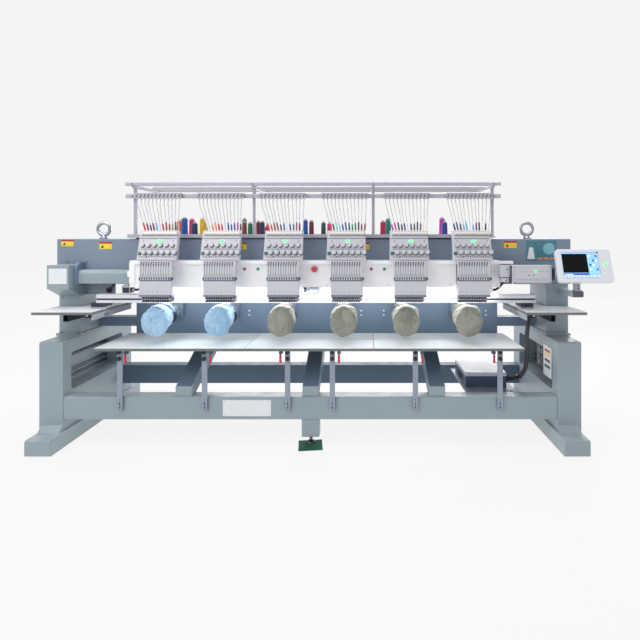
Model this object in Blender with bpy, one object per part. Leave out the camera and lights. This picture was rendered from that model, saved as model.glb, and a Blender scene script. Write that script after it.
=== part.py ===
"""Six-head, twelve-needle industrial embroidery machine with cap frames, as separate named solids.

Metres, +Z up. X runs across the machine and Y runs from its front to its back. Sizes are set out from
the machine's centre plane, and the last step moves the whole machine so that the world's origin is the
middle of the bottom of its own box.
"""

import math

import bmesh
import bpy
from mathutils import Matrix, Vector

# Driving dimensions
HEADS = 6
HEAD_PITCH = 0.400
NEEDLE_PITCH = 0.0152
CASE_SHIFT = 2.0 * NEEDLE_PITCH
GAP = 0.0003

# Feet and side frames
FOOT_X = (1.540, 1.693)
FOOT_HALF_LENGTH = 0.575
FOOT_HEIGHT = 0.0975
SIDE_X = (1.556, 1.705)
SIDE_Y = (-0.425, 0.455)
SIDE_TOP = 0.655
RECESS_Y = (-0.338, 0.315)
RECESS_Z = (0.328, 0.572)
RECESS_DEPTH = 0.135
FRAME_CORNER = 0.012

# Beams
BEAM_Z = (0.168, 0.311)
FRONT_BEAM_Y = (-0.425, -0.325)
REAR_BEAM_Y = (0.315, 0.415)
MAIN_BEAM_HALF = 1.729
MAIN_BEAM_Y = (-0.215, 0.100)
MAIN_BEAM_Z = (1.000, 1.303)
RAIL_Y = -0.290
RAIL_Z = (1.010, 1.100)
ARM_BEAM_HALF = 1.294
ARM_BEAM_Y = (-0.005, 0.145)
ARM_BEAM_Z = (0.600, 0.870)
CROSS_Z = (0.677, 0.743)
BRACE_X = (-0.800, 0.000, 0.800)
BRACE_WIDTH = 0.100

# Upper columns
COLUMN_X = (1.565, 1.712)
COLUMN_Y = (-0.215, 0.100)

# Heads
ARM_HALF = 0.060
SHAFT_Y = -0.2525
SHAFT_Z = 1.128
SHAFT_RADIUS = 0.0125
CASE_HALF = 0.102
TENSION_HALF = 0.125
TENSION_OFFSET = -0.005
CASE_FRONT = -0.430
CASE_BACK = -0.3523
CYLINDER_Z = 0.796
CYLINDER_RADIUS = 0.045
CYLINDER_END = -0.360
CAP_RADIUS = 0.0875
CAP_BACK_RADIUS = 0.074
CAP_WALL = 0.005
CAP_Y = (-0.405, -0.185)
CAP_EDGE = 0.010

# White covers and their buttons
PANEL_X = (-1.185, 1.222)
PANEL_Y = -0.325
PANEL_Z = (0.990, 1.163)
SHEET = 0.003
BUTTON_Z = 1.108
BUTTON_X = (-0.438, -0.351, 0.386, 0.470)
BUTTON_RADIUS = 0.0085
STOP_X = 0.016
STOP_RADIUS = 0.019

# Pantograph
BEAM_BAR_X = (-1.408, 1.458)
BEAM_BAR_Y = (-0.320, -0.2555)
BEAM_BAR_Z = (0.887, 0.9415)
GUIDE_HALF = 1.450

# Tables
TABLE_HALF = 1.328
TABLE_SEAM = 0.400
TABLE_Y = (-0.490, -0.020)
TABLE_Z = (0.613, 0.631)
STRAP_X = (-1.190, -0.660, -0.140, 0.140, 0.660, 1.190)
STRAP_WIDTH = 0.033
STRAP_Y = (-0.442, -0.434)
STRAP_BOTTOM = 0.232
LEVER_SIDE = (1, 1, -1, 1, 1, -1)
LEVER_OFFSET = 0.042
WING_X = (1.340, 1.715)
WING_Y = (-0.485, 0.025)
WING_Z = (0.835, 0.853)

# Thread stand
TRAY_X = (-1.246, 1.200)
TRAY_Y = (-0.235, 0.140)
TRAY_Z = (1.310, 1.335)
POST_X = (-1.200, -0.400, 0.400, 1.200)
RACK_HALF = 1.246
RACK_Y = (-0.262, -0.238)
RACK_Z = (1.656, 1.680)
REAR_RACK_Z = (1.652, 1.690)
PLATE_PITCH = 0.410
PLATE_SHIFT = 0.0062
PLATE_HALF = 0.152

# Control panel
SCREEN_CENTRE = (1.694, -0.500, 1.136)
SCREEN_SIZE = (0.334, 0.040, 0.212)
SCREEN_TILT = 19.0
SWIVEL = (1.678, -0.420)

ROUND_SIDES = 16


# Scene and materials

def clear_scene():
    """Removes every object that the scene starts with."""
    for old in list(bpy.data.objects):
        bpy.data.objects.remove(old, do_unlink=True)


def finish(name, colour, roughness, metallic=0.0):
    """A Principled material with one colour, roughness and metallic value."""
    material = bpy.data.materials.get(name)
    if material is None:
        material = bpy.data.materials.new(name)
        material.use_nodes = True
        shader = material.node_tree.nodes["Principled BSDF"]
        shader.inputs["Base Color"].default_value = (*colour, 1.0)
        shader.inputs["Roughness"].default_value = roughness
        shader.inputs["Metallic"].default_value = metallic
    return material


def frame_grey():
    return finish("frame_grey", (0.36, 0.43, 0.45), 0.42)


def beam_grey():
    return finish("beam_grey", (0.24, 0.30, 0.38), 0.45)


def cover_white():
    return finish("cover_white", (0.80, 0.80, 0.82), 0.35)


def table_grey():
    return finish("table_grey", (0.55, 0.60, 0.60), 0.30)


def steel():
    return finish("steel", (0.55, 0.56, 0.58), 0.30, 1.0)


def silver():
    return finish("silver", (0.78, 0.79, 0.80), 0.35, 0.9)


def black_plastic():
    return finish("black_plastic", (0.02, 0.02, 0.025), 0.45)


def red_plastic():
    return finish("red_plastic", (0.65, 0.02, 0.05), 0.35)


def green_plastic():
    return finish("green_plastic", (0.02, 0.40, 0.18), 0.35)


def rubber_green():
    return finish("rubber_green", (0.03, 0.25, 0.14), 0.70)


def rack_grey():
    return finish("rack_grey", (0.66, 0.65, 0.71), 0.40)


def box_violet():
    return finish("box_violet", (0.50, 0.48, 0.56), 0.45)


def fabric_blue():
    return finish("fabric_blue", (0.42, 0.62, 0.82), 0.90)


def fabric_khaki():
    return finish("fabric_khaki", (0.46, 0.47, 0.40), 0.90)


# Solids

def place(name, mesh, material, pivot=(0.0, 0.0, 0.0)):
    """Puts a mesh drawn in machine coordinates into the scene, with its origin at the pivot."""
    obj = bpy.data.objects.new(name, mesh)
    mesh.transform(Matrix.Translation(-Vector(pivot)))
    obj.location = pivot
    mesh.materials.clear()
    mesh.materials.append(material)
    bpy.context.scene.collection.objects.link(obj)
    return obj


def mesh_from(bm):
    """Closes a bmesh off as a mesh whose faces point out."""
    bmesh.ops.recalc_face_normals(bm, faces=bm.faces)
    mesh = bpy.data.meshes.new("shape")
    bm.to_mesh(mesh)
    bm.free()
    return mesh


def prism(outline, axis, span):
    """A closed polygon pushed along an axis. Its points are the other two coordinates, in X, Y, Z order."""
    bm = bmesh.new()
    ring = []
    for first, second in outline:
        point = [first, second]
        point.insert("XYZ".index(axis), span[0])
        ring.append(bm.verts.new(point))
    face = bm.faces.new(ring)
    pushed = bmesh.ops.extrude_face_region(bm, geom=[face])["geom"]
    step = [0.0, 0.0, 0.0]
    step["XYZ".index(axis)] = span[1] - span[0]
    moved = [item for item in pushed if isinstance(item, bmesh.types.BMVert)]
    bmesh.ops.translate(bm, verts=moved, vec=step)
    return mesh_from(bm)


def box(x, y, z):
    """A block between two values on each axis."""
    return prism([(x[0], y[0]), (x[1], y[0]), (x[1], y[1]), (x[0], y[1])], "Z", z)


def rounded_rectangle(first, second, radius, steps=3):
    """A rectangle's outline with quarter-circle corners."""
    corners = (
        (first[1] - radius, second[1] - radius, 0.0),
        (first[0] + radius, second[1] - radius, 90.0),
        (first[0] + radius, second[0] + radius, 180.0),
        (first[1] - radius, second[0] + radius, 270.0),
    )
    outline = []
    for centre_a, centre_b, start in corners:
        for step in range(steps + 1):
            angle = math.radians(start + 90.0 * step / steps)
            outline.append((centre_a + radius * math.cos(angle), centre_b + radius * math.sin(angle)))
    return outline


def circle(centre, radius, sides=ROUND_SIDES):
    """Points around a circle, with a flat side at the top and the bottom."""
    turn = 2.0 * math.pi / sides
    return [
        (
            centre[0] + radius * math.cos(turn * (step + 0.5)),
            centre[1] + radius * math.sin(turn * (step + 0.5)),
        )
        for step in range(sides)
    ]


def rod(centre, axis, span, radius, sides=ROUND_SIDES):
    """A round bar along an axis. Its centre is the other two coordinates, in X, Y, Z order."""
    return prism(circle(centre, radius, sides), axis, span)


def combine(base, extra_meshes, operation="UNION"):
    """Joins meshes to a base mesh, or cuts them from it, and returns the one mesh that results."""
    target = bpy.data.objects.new("target", base)
    bpy.context.scene.collection.objects.link(target)
    for mesh in extra_meshes:
        tool = bpy.data.objects.new("tool", mesh)
        bpy.context.scene.collection.objects.link(tool)
        modifier = target.modifiers.new("join", "BOOLEAN")
        modifier.operation = operation
        modifier.solver = "EXACT"
        modifier.object = tool
        graph = bpy.context.evaluated_depsgraph_get()
        result = bpy.data.meshes.new_from_object(target.evaluated_get(graph))
        target.modifiers.clear()
        target.data = result
        bpy.data.objects.remove(tool, do_unlink=True)
    result = target.data
    bpy.data.objects.remove(target, do_unlink=True)
    return result


def cut(base, cutters):
    return combine(base, cutters, "DIFFERENCE")


def flip(side, span):
    """A span of X on the right side, or its mirror image on the left side."""
    return span if side > 0 else (-span[1], -span[0])


def head_x(number):
    """The X of a head's cylinder arm. Heads are numbered from the left, from 1."""
    return (number - (HEADS + 1) / 2.0) * HEAD_PITCH


# Frame

def side_frame(side):
    """A sheet-steel side box on a long foot, with a shallow recess facing inwards."""
    outline = rounded_rectangle(SIDE_Y, (FOOT_HEIGHT - 0.02, SIDE_TOP), FRAME_CORNER, 2)
    body = prism(outline, "X", flip(side, SIDE_X))
    recess_x = (SIDE_X[0] - 0.02, SIDE_X[0] + RECESS_DEPTH)
    recess = prism(rounded_rectangle(RECESS_Y, RECESS_Z, 0.030), "X", flip(side, recess_x))
    foot_y = (-FOOT_HALF_LENGTH, FOOT_HALF_LENGTH)
    foot = prism(rounded_rectangle(foot_y, (0.0, FOOT_HEIGHT), FRAME_CORNER, 2), "X", flip(side, FOOT_X))
    flare = prism(
        [
            (SIDE_Y[0] - 0.045, FOOT_HEIGHT - 0.004),
            (SIDE_Y[0] + 0.010, FOOT_HEIGHT - 0.004),
            (SIDE_Y[0] + 0.010, FOOT_HEIGHT + 0.045),
        ],
        "X",
        flip(side, (SIDE_X[0], FOOT_X[1] - 0.002)),
    )
    mesh = combine(cut(body, [recess]), [foot, flare])
    name = "side_frame_right" if side > 0 else "side_frame_left"
    place(name, mesh, frame_grey())


def front_beam():
    """The front cross beam with the centre leg under it and the leg's levelling foot."""
    half = SIDE_X[0] - GAP
    mesh = combine(
        box((-half, half), FRONT_BEAM_Y, BEAM_Z),
        [
            box((-0.056, 0.056), (-0.420, -0.330), (0.0565, BEAM_Z[0] + 0.01)),
            rod((0.0, -0.375), "Z", (0.0120, 0.0600), 0.009, 12),
            rod((0.0, -0.375), "Z", (0.0063, 0.0160), 0.030, 12),
        ],
    )
    place("front_beam", mesh, frame_grey())


def rear_beam():
    half = SIDE_X[0] - GAP
    place("rear_beam", box((-half, half), REAR_BEAM_Y, BEAM_Z), frame_grey())


def floor_pad():
    """A square rubber mat under the levelling foot, turned a few degrees."""
    outline = []
    turn = math.radians(7.0)
    for across, along in ((-0.075, -0.075), (0.075, -0.075), (0.075, 0.075), (-0.075, 0.075)):
        x = across * math.cos(turn) - along * math.sin(turn)
        y = across * math.sin(turn) + along * math.cos(turn) - 0.413
        outline.append((x, y))
    place("floor_pad", prism(outline, "Z", (0.0, 0.006)), rubber_green())


def eye_bolt(x):
    """The meshes of a lifting eye: a washer, a shank and a ring that is joined to them."""
    ring = cut(rod((x, 1.372), "Y", (-0.130, -0.104), 0.052), [rod((x, 1.372), "Y", (-0.140, -0.094), 0.030)])
    return combine(ring, [rod((x, -0.117), "Z", (MAIN_BEAM_Z[1] - 0.01, 1.330), 0.020, 12)])


def main_beam():
    """The upper beam with the head rail along its front, two lifting eyes and the two small motors."""
    rail_x = (-1.555, 1.222)
    parts = [
        box(rail_x, (RAIL_Y, MAIN_BEAM_Y[0] + 0.01), RAIL_Z),
        eye_bolt(-1.465),
        eye_bolt(1.465),
        rod((-1.229, -0.255), "Z", (0.947, RAIL_Z[0] + 0.01), 0.032, 12),
        rod((1.150, -0.255), "Z", (0.947, RAIL_Z[0] + 0.01), 0.032, 12),
    ]
    base = box((-MAIN_BEAM_HALF, MAIN_BEAM_HALF), MAIN_BEAM_Y, MAIN_BEAM_Z)
    place("main_beam", combine(base, parts), beam_grey())


def column_base(side):
    """An upper column on its base plate."""
    shaft = box(flip(side, COLUMN_X), COLUMN_Y, (SIDE_TOP + 0.01, MAIN_BEAM_Z[0] - GAP))
    plate_x = (COLUMN_X[0] - 0.008, COLUMN_X[1] + 0.010)
    plate_y = (COLUMN_Y[0] - 0.020, COLUMN_Y[1] + 0.020)
    return combine(shaft, [box(flip(side, plate_x), plate_y, (SIDE_TOP + GAP, SIDE_TOP + 0.016))])


def upper_column_left():
    """The left column with the drive housing on its front and the hand lever's bracket."""
    face = MAIN_BEAM_Y[0] - GAP
    front, outer = -0.345, -1.710
    plan = [(outer, front), (-1.570, front), (-1.5555, face), (outer, face)]
    housing = prism(plan, "Z", (0.980, 1.134))
    slant = [(front, 0.982), (face - 0.003, 0.982), (face + 0.002, 0.990), (face + 0.002, 0.920)]
    under = prism(slant, "X", (outer, -1.570))
    bracket = box((-1.575, -1.365), (-0.158, -0.152), (0.925, MAIN_BEAM_Z[0] - GAP))
    place("upper_column_left", combine(column_base(-1), [under, housing, bracket]), frame_grey())


def upper_column_right():
    """The right column with the square arm that carries the control panel."""
    arm = box((1.640, 1.708), (-0.450, COLUMN_Y[0] + 0.005), (0.940, 0.978))
    place("upper_column_right", combine(column_base(1), [arm]), frame_grey())


def arm_beam():
    """The wall that the cylinder arms are bolted to, with its end members and three inclined braces."""
    parts = []
    for side in (-1, 1):
        parts.append(box(flip(side, (ARM_BEAM_HALF - 0.01, COLUMN_X[0] - GAP)), (0.0, 0.090), CROSS_Z))
    top = BEAM_Z[1] + GAP
    outline = [
        (-0.415, top),
        (-0.330, top),
        (0.135, 0.480),
        (0.135, 0.610),
        (0.110, 0.610),
        (-0.390, 0.385),
        (-0.415, 0.374),
    ]
    for x in BRACE_X:
        parts.append(prism(outline, "X", (x - BRACE_WIDTH / 2.0, x + BRACE_WIDTH / 2.0)))
    base = box((-ARM_BEAM_HALF, ARM_BEAM_HALF), ARM_BEAM_Y, ARM_BEAM_Z)
    place("arm_beam", combine(base, parts), beam_grey())


# Heads

def head_arm(number):
    """The upper casting of one head, which stands on the head rail and holds the main shaft."""
    x = head_x(number)
    outline = [
        (MAIN_BEAM_Y[0] - GAP, RAIL_Z[1] + GAP),
        (RAIL_Y - GAP, RAIL_Z[1] + GAP),
        (RAIL_Y - GAP, 1.005),
        (-0.335, 1.005),
        (-0.335, 1.155),
        (MAIN_BEAM_Y[0] - GAP, 1.155),
    ]
    body = prism(outline, "X", (x - ARM_HALF, x + ARM_HALF))
    hole = rod((SHAFT_Y, SHAFT_Z), "X", (x - 0.1, x + 0.1), SHAFT_RADIUS + 0.004)
    place(f"head_arm_{number}", cut(body, [hole]), cover_white())


def main_shaft():
    """The shaft that drives every head's needle bar and take-up lever."""
    middle = (0.0, SHAFT_Y, SHAFT_Z)
    place("main_shaft", rod((SHAFT_Y, SHAFT_Z), "X", (-1.170, 1.190), SHAFT_RADIUS), steel(), middle)


def needle_case(number):
    """One twelve-needle case: the leaning tension base, the case and the needle clamps under it."""
    x = head_x(number) + CASE_SHIFT
    case = box((x - CASE_HALF, x + CASE_HALF), (CASE_FRONT, CASE_BACK), (0.943, 1.180))
    base_outline = [
        (-0.415, 1.166),
        (-0.380, 1.166),
        (-0.322, 1.345),
        (-0.328, 1.358),
        (-0.365, 1.358),
        (-0.415, 1.180),
    ]
    base_x = x + TENSION_OFFSET
    tension = prism(base_outline, "X", (base_x - TENSION_HALF, base_x + TENSION_HALF))
    clamps = box((x - 0.088, x + 0.088), (-0.415, -0.365), (0.905, 0.950))
    place(f"needle_case_{number}", combine(tension, [case, clamps]), cover_white(), (x, CASE_BACK, 1.15))


def colour_change_bar():
    """The sliding bar that carries every needle case past the heads."""
    bar = box((-1.160, 1.300), (-0.352, -0.338), (1.142, 1.162))
    place("colour_change_bar", bar, steel(), (0.0, -0.345, 1.152))


def colour_change_box():
    """The box of the colour-change cam, with its motor and hand knob on the right."""
    parts = [
        box((1.200, 1.275), (-0.405, -0.365), (1.030, 1.136)),
        rod((-0.385, 1.082), "X", (1.500, 1.552), 0.028, 12),
        box((1.300, 1.490), (-0.370, MAIN_BEAM_Y[0] - GAP), (1.030, 1.120)),
    ]
    body = box((1.269, 1.520), (-0.430, -0.360), (1.020, 1.139))
    place("colour_change_box", combine(body, parts), cover_white())


def cylinder_arm(number):
    """The lower arm of one head, a tube on a flange, which reaches into the cap."""
    x = head_x(number)
    back = ARM_BEAM_Y[0] - GAP
    tube = rod((x, CYLINDER_Z), "Y", (CYLINDER_END, back - 0.01), CYLINDER_RADIUS)
    flange = box((x - 0.070, x + 0.070), (back - 0.030, back), (0.700, 0.856))
    place(f"cylinder_arm_{number}", combine(flange, [tube]), silver())


def cap(number):
    """A fabric cap stretched on its driver ring, open at the back, turning about the cylinder arm."""
    x = head_x(number)
    profile = (
        (CAP_Y[0], CAP_RADIUS - CAP_EDGE),
        (CAP_Y[0] + CAP_EDGE, CAP_RADIUS),
        (CAP_Y[1], CAP_BACK_RADIUS),
        (CAP_Y[1], CAP_BACK_RADIUS - CAP_WALL),
        (CAP_Y[0] + CAP_EDGE, CAP_RADIUS - CAP_WALL),
        (CAP_Y[0] + CAP_WALL, CAP_RADIUS - CAP_EDGE - CAP_WALL),
    )
    bm = bmesh.new()
    rings = []
    for y, radius in profile:
        rings.append([bm.verts.new((px, y, pz)) for px, pz in circle((x, CYLINDER_Z), radius)])
    for outer, inner in zip(rings, rings[1:]):
        for step in range(ROUND_SIDES):
            after = (step + 1) % ROUND_SIDES
            bm.faces.new((outer[step], outer[after], inner[after], inner[step]))
    bm.faces.new(rings[0])
    bm.faces.new(rings[-1])
    material = fabric_blue() if number <= 2 else fabric_khaki()
    place(f"cap_{number}", mesh_from(bm), material, (x, CAP_Y[1], CYLINDER_Z))


def front_panel():
    """The white sheet cover between the heads, with windows for the arms and holes for the buttons."""
    back = MAIN_BEAM_Y[0] - GAP
    outline = [
        (PANEL_Y, PANEL_Z[0]),
        (PANEL_Y + 0.020, PANEL_Z[0]),
        (PANEL_Y + 0.020, PANEL_Z[0] + SHEET),
        (PANEL_Y + SHEET, PANEL_Z[0] + SHEET),
        (PANEL_Y + SHEET, PANEL_Z[1] - SHEET),
        (back, PANEL_Z[1] - SHEET),
        (back, PANEL_Z[1]),
        (PANEL_Y, PANEL_Z[1]),
    ]
    through = (PANEL_Y - 0.01, PANEL_Y + 0.01)
    cutters = []
    for number in range(1, HEADS + 1):
        x = head_x(number)
        cutters.append(box((x - ARM_HALF - 0.004, x + ARM_HALF + 0.004), through, (1.0005, 1.1575)))
    for x in BUTTON_X:
        cutters.append(rod((x, BUTTON_Z), "Y", through, BUTTON_RADIUS + 0.001, 12))
    cutters.append(rod((STOP_X, BUTTON_Z), "Y", through, 0.011, 12))
    place("front_panel", cut(prism(outline, "X", PANEL_X), cutters), cover_white())


def buttons():
    """Two stop and start pairs and the emergency stop, each with a stem through the cover."""
    names = ("stop_button_1", "start_button_1", "stop_button_2", "start_button_2")
    for name, x in zip(names, BUTTON_X):
        material = red_plastic() if name.startswith("stop") else green_plastic()
        mesh = rod((x, BUTTON_Z), "Y", (PANEL_Y - 0.008, PANEL_Y + 0.016), BUTTON_RADIUS - 0.0005, 12)
        place(name, mesh, material, (x, PANEL_Y, BUTTON_Z))
    head = rod((STOP_X, BUTTON_Z), "Y", (PANEL_Y - 0.026, PANEL_Y - 0.010), STOP_RADIUS, ROUND_SIDES)
    stem = rod((STOP_X, BUTTON_Z), "Y", (PANEL_Y - 0.015, PANEL_Y + 0.016), 0.0095, 12)
    place("emergency_stop", combine(head, [stem]), red_plastic(), (STOP_X, PANEL_Y, BUTTON_Z))


# Pantograph

def x_beam():
    """The extruded bar that moves the hoops or caps sideways."""
    middle = (0.025, BEAM_BAR_Y[0], BEAM_BAR_Z[0])
    place("x_beam", box(BEAM_BAR_X, BEAM_BAR_Y, BEAM_BAR_Z), silver(), middle)


def y_frame():
    """The guide rail behind the X beam, with a carriage on each wing table."""
    parts = []
    outline = [
        (-0.320, WING_Z[1] + 0.0015),
        (-0.200, WING_Z[1] + 0.0015),
        (-0.200, 0.900),
        (-0.250, 0.900),
        (-0.250, BEAM_BAR_Z[0] - 0.0008),
        (-0.320, BEAM_BAR_Z[0] - 0.0008),
    ]
    for side in (-1, 1):
        parts.append(prism(outline, "X", flip(side, (1.360, 1.440))))
    rail = box((-GUIDE_HALF, GUIDE_HALF), (-0.245, -0.200), (0.890, 0.935))
    place("y_frame", combine(rail, parts), silver(), (0.0, -0.2225, 0.90))


# Tables

def table_board(name, span, straps):
    """One board of the lower table with the two slotted straps that hang from its front edge."""
    parts = []
    for x in straps:
        strap_x = (x - STRAP_WIDTH / 2.0, x + STRAP_WIDTH / 2.0)
        parts.append(box(strap_x, STRAP_Y, (STRAP_BOTTOM, TABLE_Z[0] + 0.004)))
    pivot = (sum(span) / 2.0, STRAP_Y[0], TABLE_Z[1])
    place(name, combine(box(span, TABLE_Y, TABLE_Z), parts), table_grey(), pivot)


def lower_table():
    seam = 0.00075
    table_board("table_left", (-TABLE_HALF, -TABLE_SEAM - seam), STRAP_X[0:2])
    table_board("table_centre", (-TABLE_SEAM + seam, TABLE_SEAM - seam), STRAP_X[2:4])
    table_board("table_right", (TABLE_SEAM + seam, TABLE_HALF), STRAP_X[4:6])


def lock_lever(number):
    """A red-handled cam lever hanging under the table's front edge beside a strap."""
    x = STRAP_X[number - 1] + LEVER_SIDE[number - 1] * LEVER_OFFSET
    pivot = (x, -0.458, 0.598)
    boss = rod((pivot[0], pivot[2]), "Y", (-0.466, -0.450), 0.009, 12)
    arm = box((x - 0.005, x + 0.005), (-0.463, -0.453), (0.570, 0.598))
    grip = rod((x, -0.458), "Z", (0.531, 0.582), 0.0075, 12)
    place(f"lock_lever_{number}", combine(boss, [arm, grip]), red_plastic(), pivot)


def wing_table(side):
    """The fixed side table around the column, with its rail skirt and black square tube."""
    inner, outer = WING_X
    notch_x = COLUMN_X[0] - 0.008
    notch_y = COLUMN_Y[0] - 0.008
    outline = [
        (inner, WING_Y[0]),
        (outer, WING_Y[0]),
        (outer, notch_y),
        (notch_x, notch_y),
        (notch_x, WING_Y[1]),
        (inner, WING_Y[1]),
    ]
    board = prism([(side * x, y) for x, y in outline], "Z", WING_Z)
    parts = [
        box(flip(side, (inner, inner + 0.010)), (-0.470, 0.015), (0.800, WING_Z[0] + 0.004)),
        box(flip(side, (1.490, 1.523)), (-0.475, 0.015), (0.792, WING_Z[0] + 0.004)),
        box(flip(side, (1.510, COLUMN_X[0] - GAP)), (-0.150, -0.060), (0.800, 0.826)),
    ]
    name = "wing_table_right" if side > 0 else "wing_table_left"
    place(name, combine(board, parts), table_grey())


# Thread stand

def thread_rack():
    """The cone tray on the main beam, with four posts, the guide rail and its plates, and the top rack."""
    low = MAIN_BEAM_Z[1] + GAP
    parts = [
        box((-1.200, 1.160), (-0.210, 0.090), (low, TRAY_Z[0] + 0.004)),
        box((-RACK_HALF, RACK_HALF), RACK_Y, RACK_Z),
        box((-RACK_HALF, RACK_HALF), (0.140, 0.160), REAR_RACK_Z),
        box((-RACK_HALF, RACK_HALF), (-0.260, -0.240), (1.574, 1.602)),
    ]
    for x in POST_X:
        parts.append(box((x - 0.010, x + 0.010), (-0.2205, -0.2005), (TRAY_Z[1] - 0.004, 1.655)))
        parts.append(box((x - 0.009, x + 0.009), (-0.248, 0.150), (1.642, 1.662)))
        parts.append(box((x - 0.010, x + 0.010), (-0.245, -0.210), (1.580, 1.596)))
    for number in range(1, HEADS + 1):
        x = (number - (HEADS + 1) / 2.0) * PLATE_PITCH + PLATE_SHIFT
        parts.append(box((x - PLATE_HALF, x + PLATE_HALF), (-0.285, -0.255), (1.567, 1.607)))
    place("thread_rack", combine(box(TRAY_X, TRAY_Y, TRAY_Z), parts), rack_grey())


# Control panel, power box and conduit

def control_panel():
    """The tilted display case on its swivel neck."""
    width, depth, height = (size / 2.0 for size in SCREEN_SIZE)
    case = prism(rounded_rectangle((-width, width), (-height, height), 0.014), "Y", (-depth, depth))
    case.transform(Matrix.Rotation(math.radians(-SCREEN_TILT), 4, "X"))
    case.transform(Matrix.Translation((SCREEN_CENTRE[0], SCREEN_CENTRE[1] + depth, SCREEN_CENTRE[2])))
    neck = rod(SWIVEL, "Z", (0.978 + GAP, 1.046), 0.022, 12)
    hinge = box((1.648, 1.708), (-0.500, -0.400), (1.036, 1.066))
    place("control_panel", combine(case, [hinge, neck]), cover_white(), (*SWIVEL, 0.9785))


def hand_lever():
    """A small crank on the left bracket, with its hub and its bar."""
    x, z = -1.400, 0.955
    hub = rod((x, z), "Y", (-0.190, -0.1585), 0.017, 12)
    bar = box((0.0, 0.060), (-0.188, -0.180), (-0.004, 0.004))
    bar.transform(Matrix.Rotation(math.radians(-30.0), 4, "Y"))
    bar.transform(Matrix.Translation((x, 0.0, z)))
    place("hand_lever", combine(hub, [bar]), black_plastic(), (x, -0.174, z))


def power_box():
    """The power supply box on a sheet shelf between the lower beams."""
    shelf = box((1.010, 1.340), (FRONT_BEAM_Y[1] + GAP, REAR_BEAM_Y[0] - GAP), (0.284, 0.294))
    case = box((1.030, 1.310), (-0.175, 0.205), (0.292, 0.392))
    place("power_box", combine(shelf, [case]), box_violet())


def smooth_route(points, count):
    """Evenly counted points on a Catmull-Rom curve through the route's own points."""
    ends = [points[0] * 2.0 - points[1], *points, points[-1] * 2.0 - points[-2]]
    spans = len(points) - 1
    route = []
    for step in range(count):
        place_on = spans * step / (count - 1)
        span = min(int(place_on), spans - 1)
        t = place_on - span
        before, start, end, after = ends[span : span + 4]
        route.append(
            0.5
            * (
                2.0 * start
                + (end - before) * t
                + (2.0 * before - 5.0 * start + 4.0 * end - after) * t**2
                + (3.0 * start - before - 3.0 * end + after) * t**3
            )
        )
    return route


def conduit():
    """The corrugated conduit from under the right wing table to the power box."""
    route = smooth_route(
        [
            Vector((1.445, -0.240, WING_Z[0] - 0.003)),
            Vector((1.445, -0.240, 0.805)),
            Vector((1.432, -0.252, 0.755)),
            Vector((1.420, -0.262, 0.690)),
            Vector((1.416, -0.262, 0.610)),
            Vector((1.418, -0.255, 0.520)),
            Vector((1.415, -0.232, 0.435)),
            Vector((1.395, -0.190, 0.375)),
            Vector((1.360, -0.155, 0.346)),
            Vector((1.335, -0.145, 0.342)),
            Vector((1.312, -0.145, 0.342)),
        ],
        24,
    )
    curve = bpy.data.curves.new("conduit", "CURVE")
    curve.dimensions = "3D"
    curve.bevel_depth = 0.015
    curve.bevel_resolution = 2
    curve.use_fill_caps = True
    line = curve.splines.new("POLY")
    line.points.add(len(route) - 1)
    for point, spot in zip(line.points, route):
        point.co = (*spot, 1.0)
    curve.materials.append(black_plastic())
    bpy.context.scene.collection.objects.link(bpy.data.objects.new("conduit", curve))


# Assembly

def centre_machine():
    """Hangs every solid on one empty and moves it so that the machine's box stands centred on the origin."""
    bpy.context.view_layer.update()
    solids = [obj for obj in bpy.data.objects if obj.type in ("MESH", "CURVE")]
    corners = [obj.matrix_world @ Vector(corner) for obj in solids for corner in obj.bound_box]
    machine = bpy.data.objects.new("machine", None)
    bpy.context.scene.collection.objects.link(machine)
    for obj in solids:
        obj.parent = machine
    for axis in (0, 1):
        values = [corner[axis] for corner in corners]
        machine.location[axis] = -(min(values) + max(values)) / 2.0
    machine.location[2] = -min(corner[2] for corner in corners)


def build():
    clear_scene()
    for side in (-1, 1):
        side_frame(side)
        wing_table(side)
    front_beam()
    rear_beam()
    floor_pad()
    main_beam()
    upper_column_left()
    upper_column_right()
    arm_beam()
    for number in range(1, HEADS + 1):
        head_arm(number)
        needle_case(number)
        cylinder_arm(number)
        cap(number)
        lock_lever(number)
    main_shaft()
    colour_change_bar()
    colour_change_box()
    front_panel()
    buttons()
    x_beam()
    y_frame()
    lower_table()
    thread_rack()
    control_panel()
    hand_lever()
    power_box()
    conduit()
    centre_machine()


build()
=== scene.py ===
import math

import bmesh
import bpy
import numpy as np
from mathutils import Matrix, Vector


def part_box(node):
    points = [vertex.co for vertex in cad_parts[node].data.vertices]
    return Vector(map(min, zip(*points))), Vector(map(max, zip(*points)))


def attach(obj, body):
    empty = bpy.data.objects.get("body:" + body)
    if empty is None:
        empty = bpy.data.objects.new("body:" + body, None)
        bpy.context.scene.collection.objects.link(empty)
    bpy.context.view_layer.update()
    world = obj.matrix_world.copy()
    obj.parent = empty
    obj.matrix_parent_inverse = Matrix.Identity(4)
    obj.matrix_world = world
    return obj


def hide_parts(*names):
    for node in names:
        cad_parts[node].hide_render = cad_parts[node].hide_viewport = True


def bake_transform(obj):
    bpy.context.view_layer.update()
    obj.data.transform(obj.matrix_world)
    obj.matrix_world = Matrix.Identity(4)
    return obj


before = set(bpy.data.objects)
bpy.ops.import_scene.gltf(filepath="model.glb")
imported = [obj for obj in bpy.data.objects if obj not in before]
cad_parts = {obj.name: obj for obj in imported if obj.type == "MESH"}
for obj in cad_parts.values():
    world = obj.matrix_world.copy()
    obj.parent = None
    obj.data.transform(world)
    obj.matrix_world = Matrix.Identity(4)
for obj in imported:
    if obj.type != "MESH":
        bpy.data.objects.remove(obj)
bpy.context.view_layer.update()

# Lengths are metres. X is counted from the machine's centre plane, which the rear beam's box gives.
CENTRE = sum(corner.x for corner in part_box("rear_beam")) / 2.0
HEADS = 6
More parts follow.
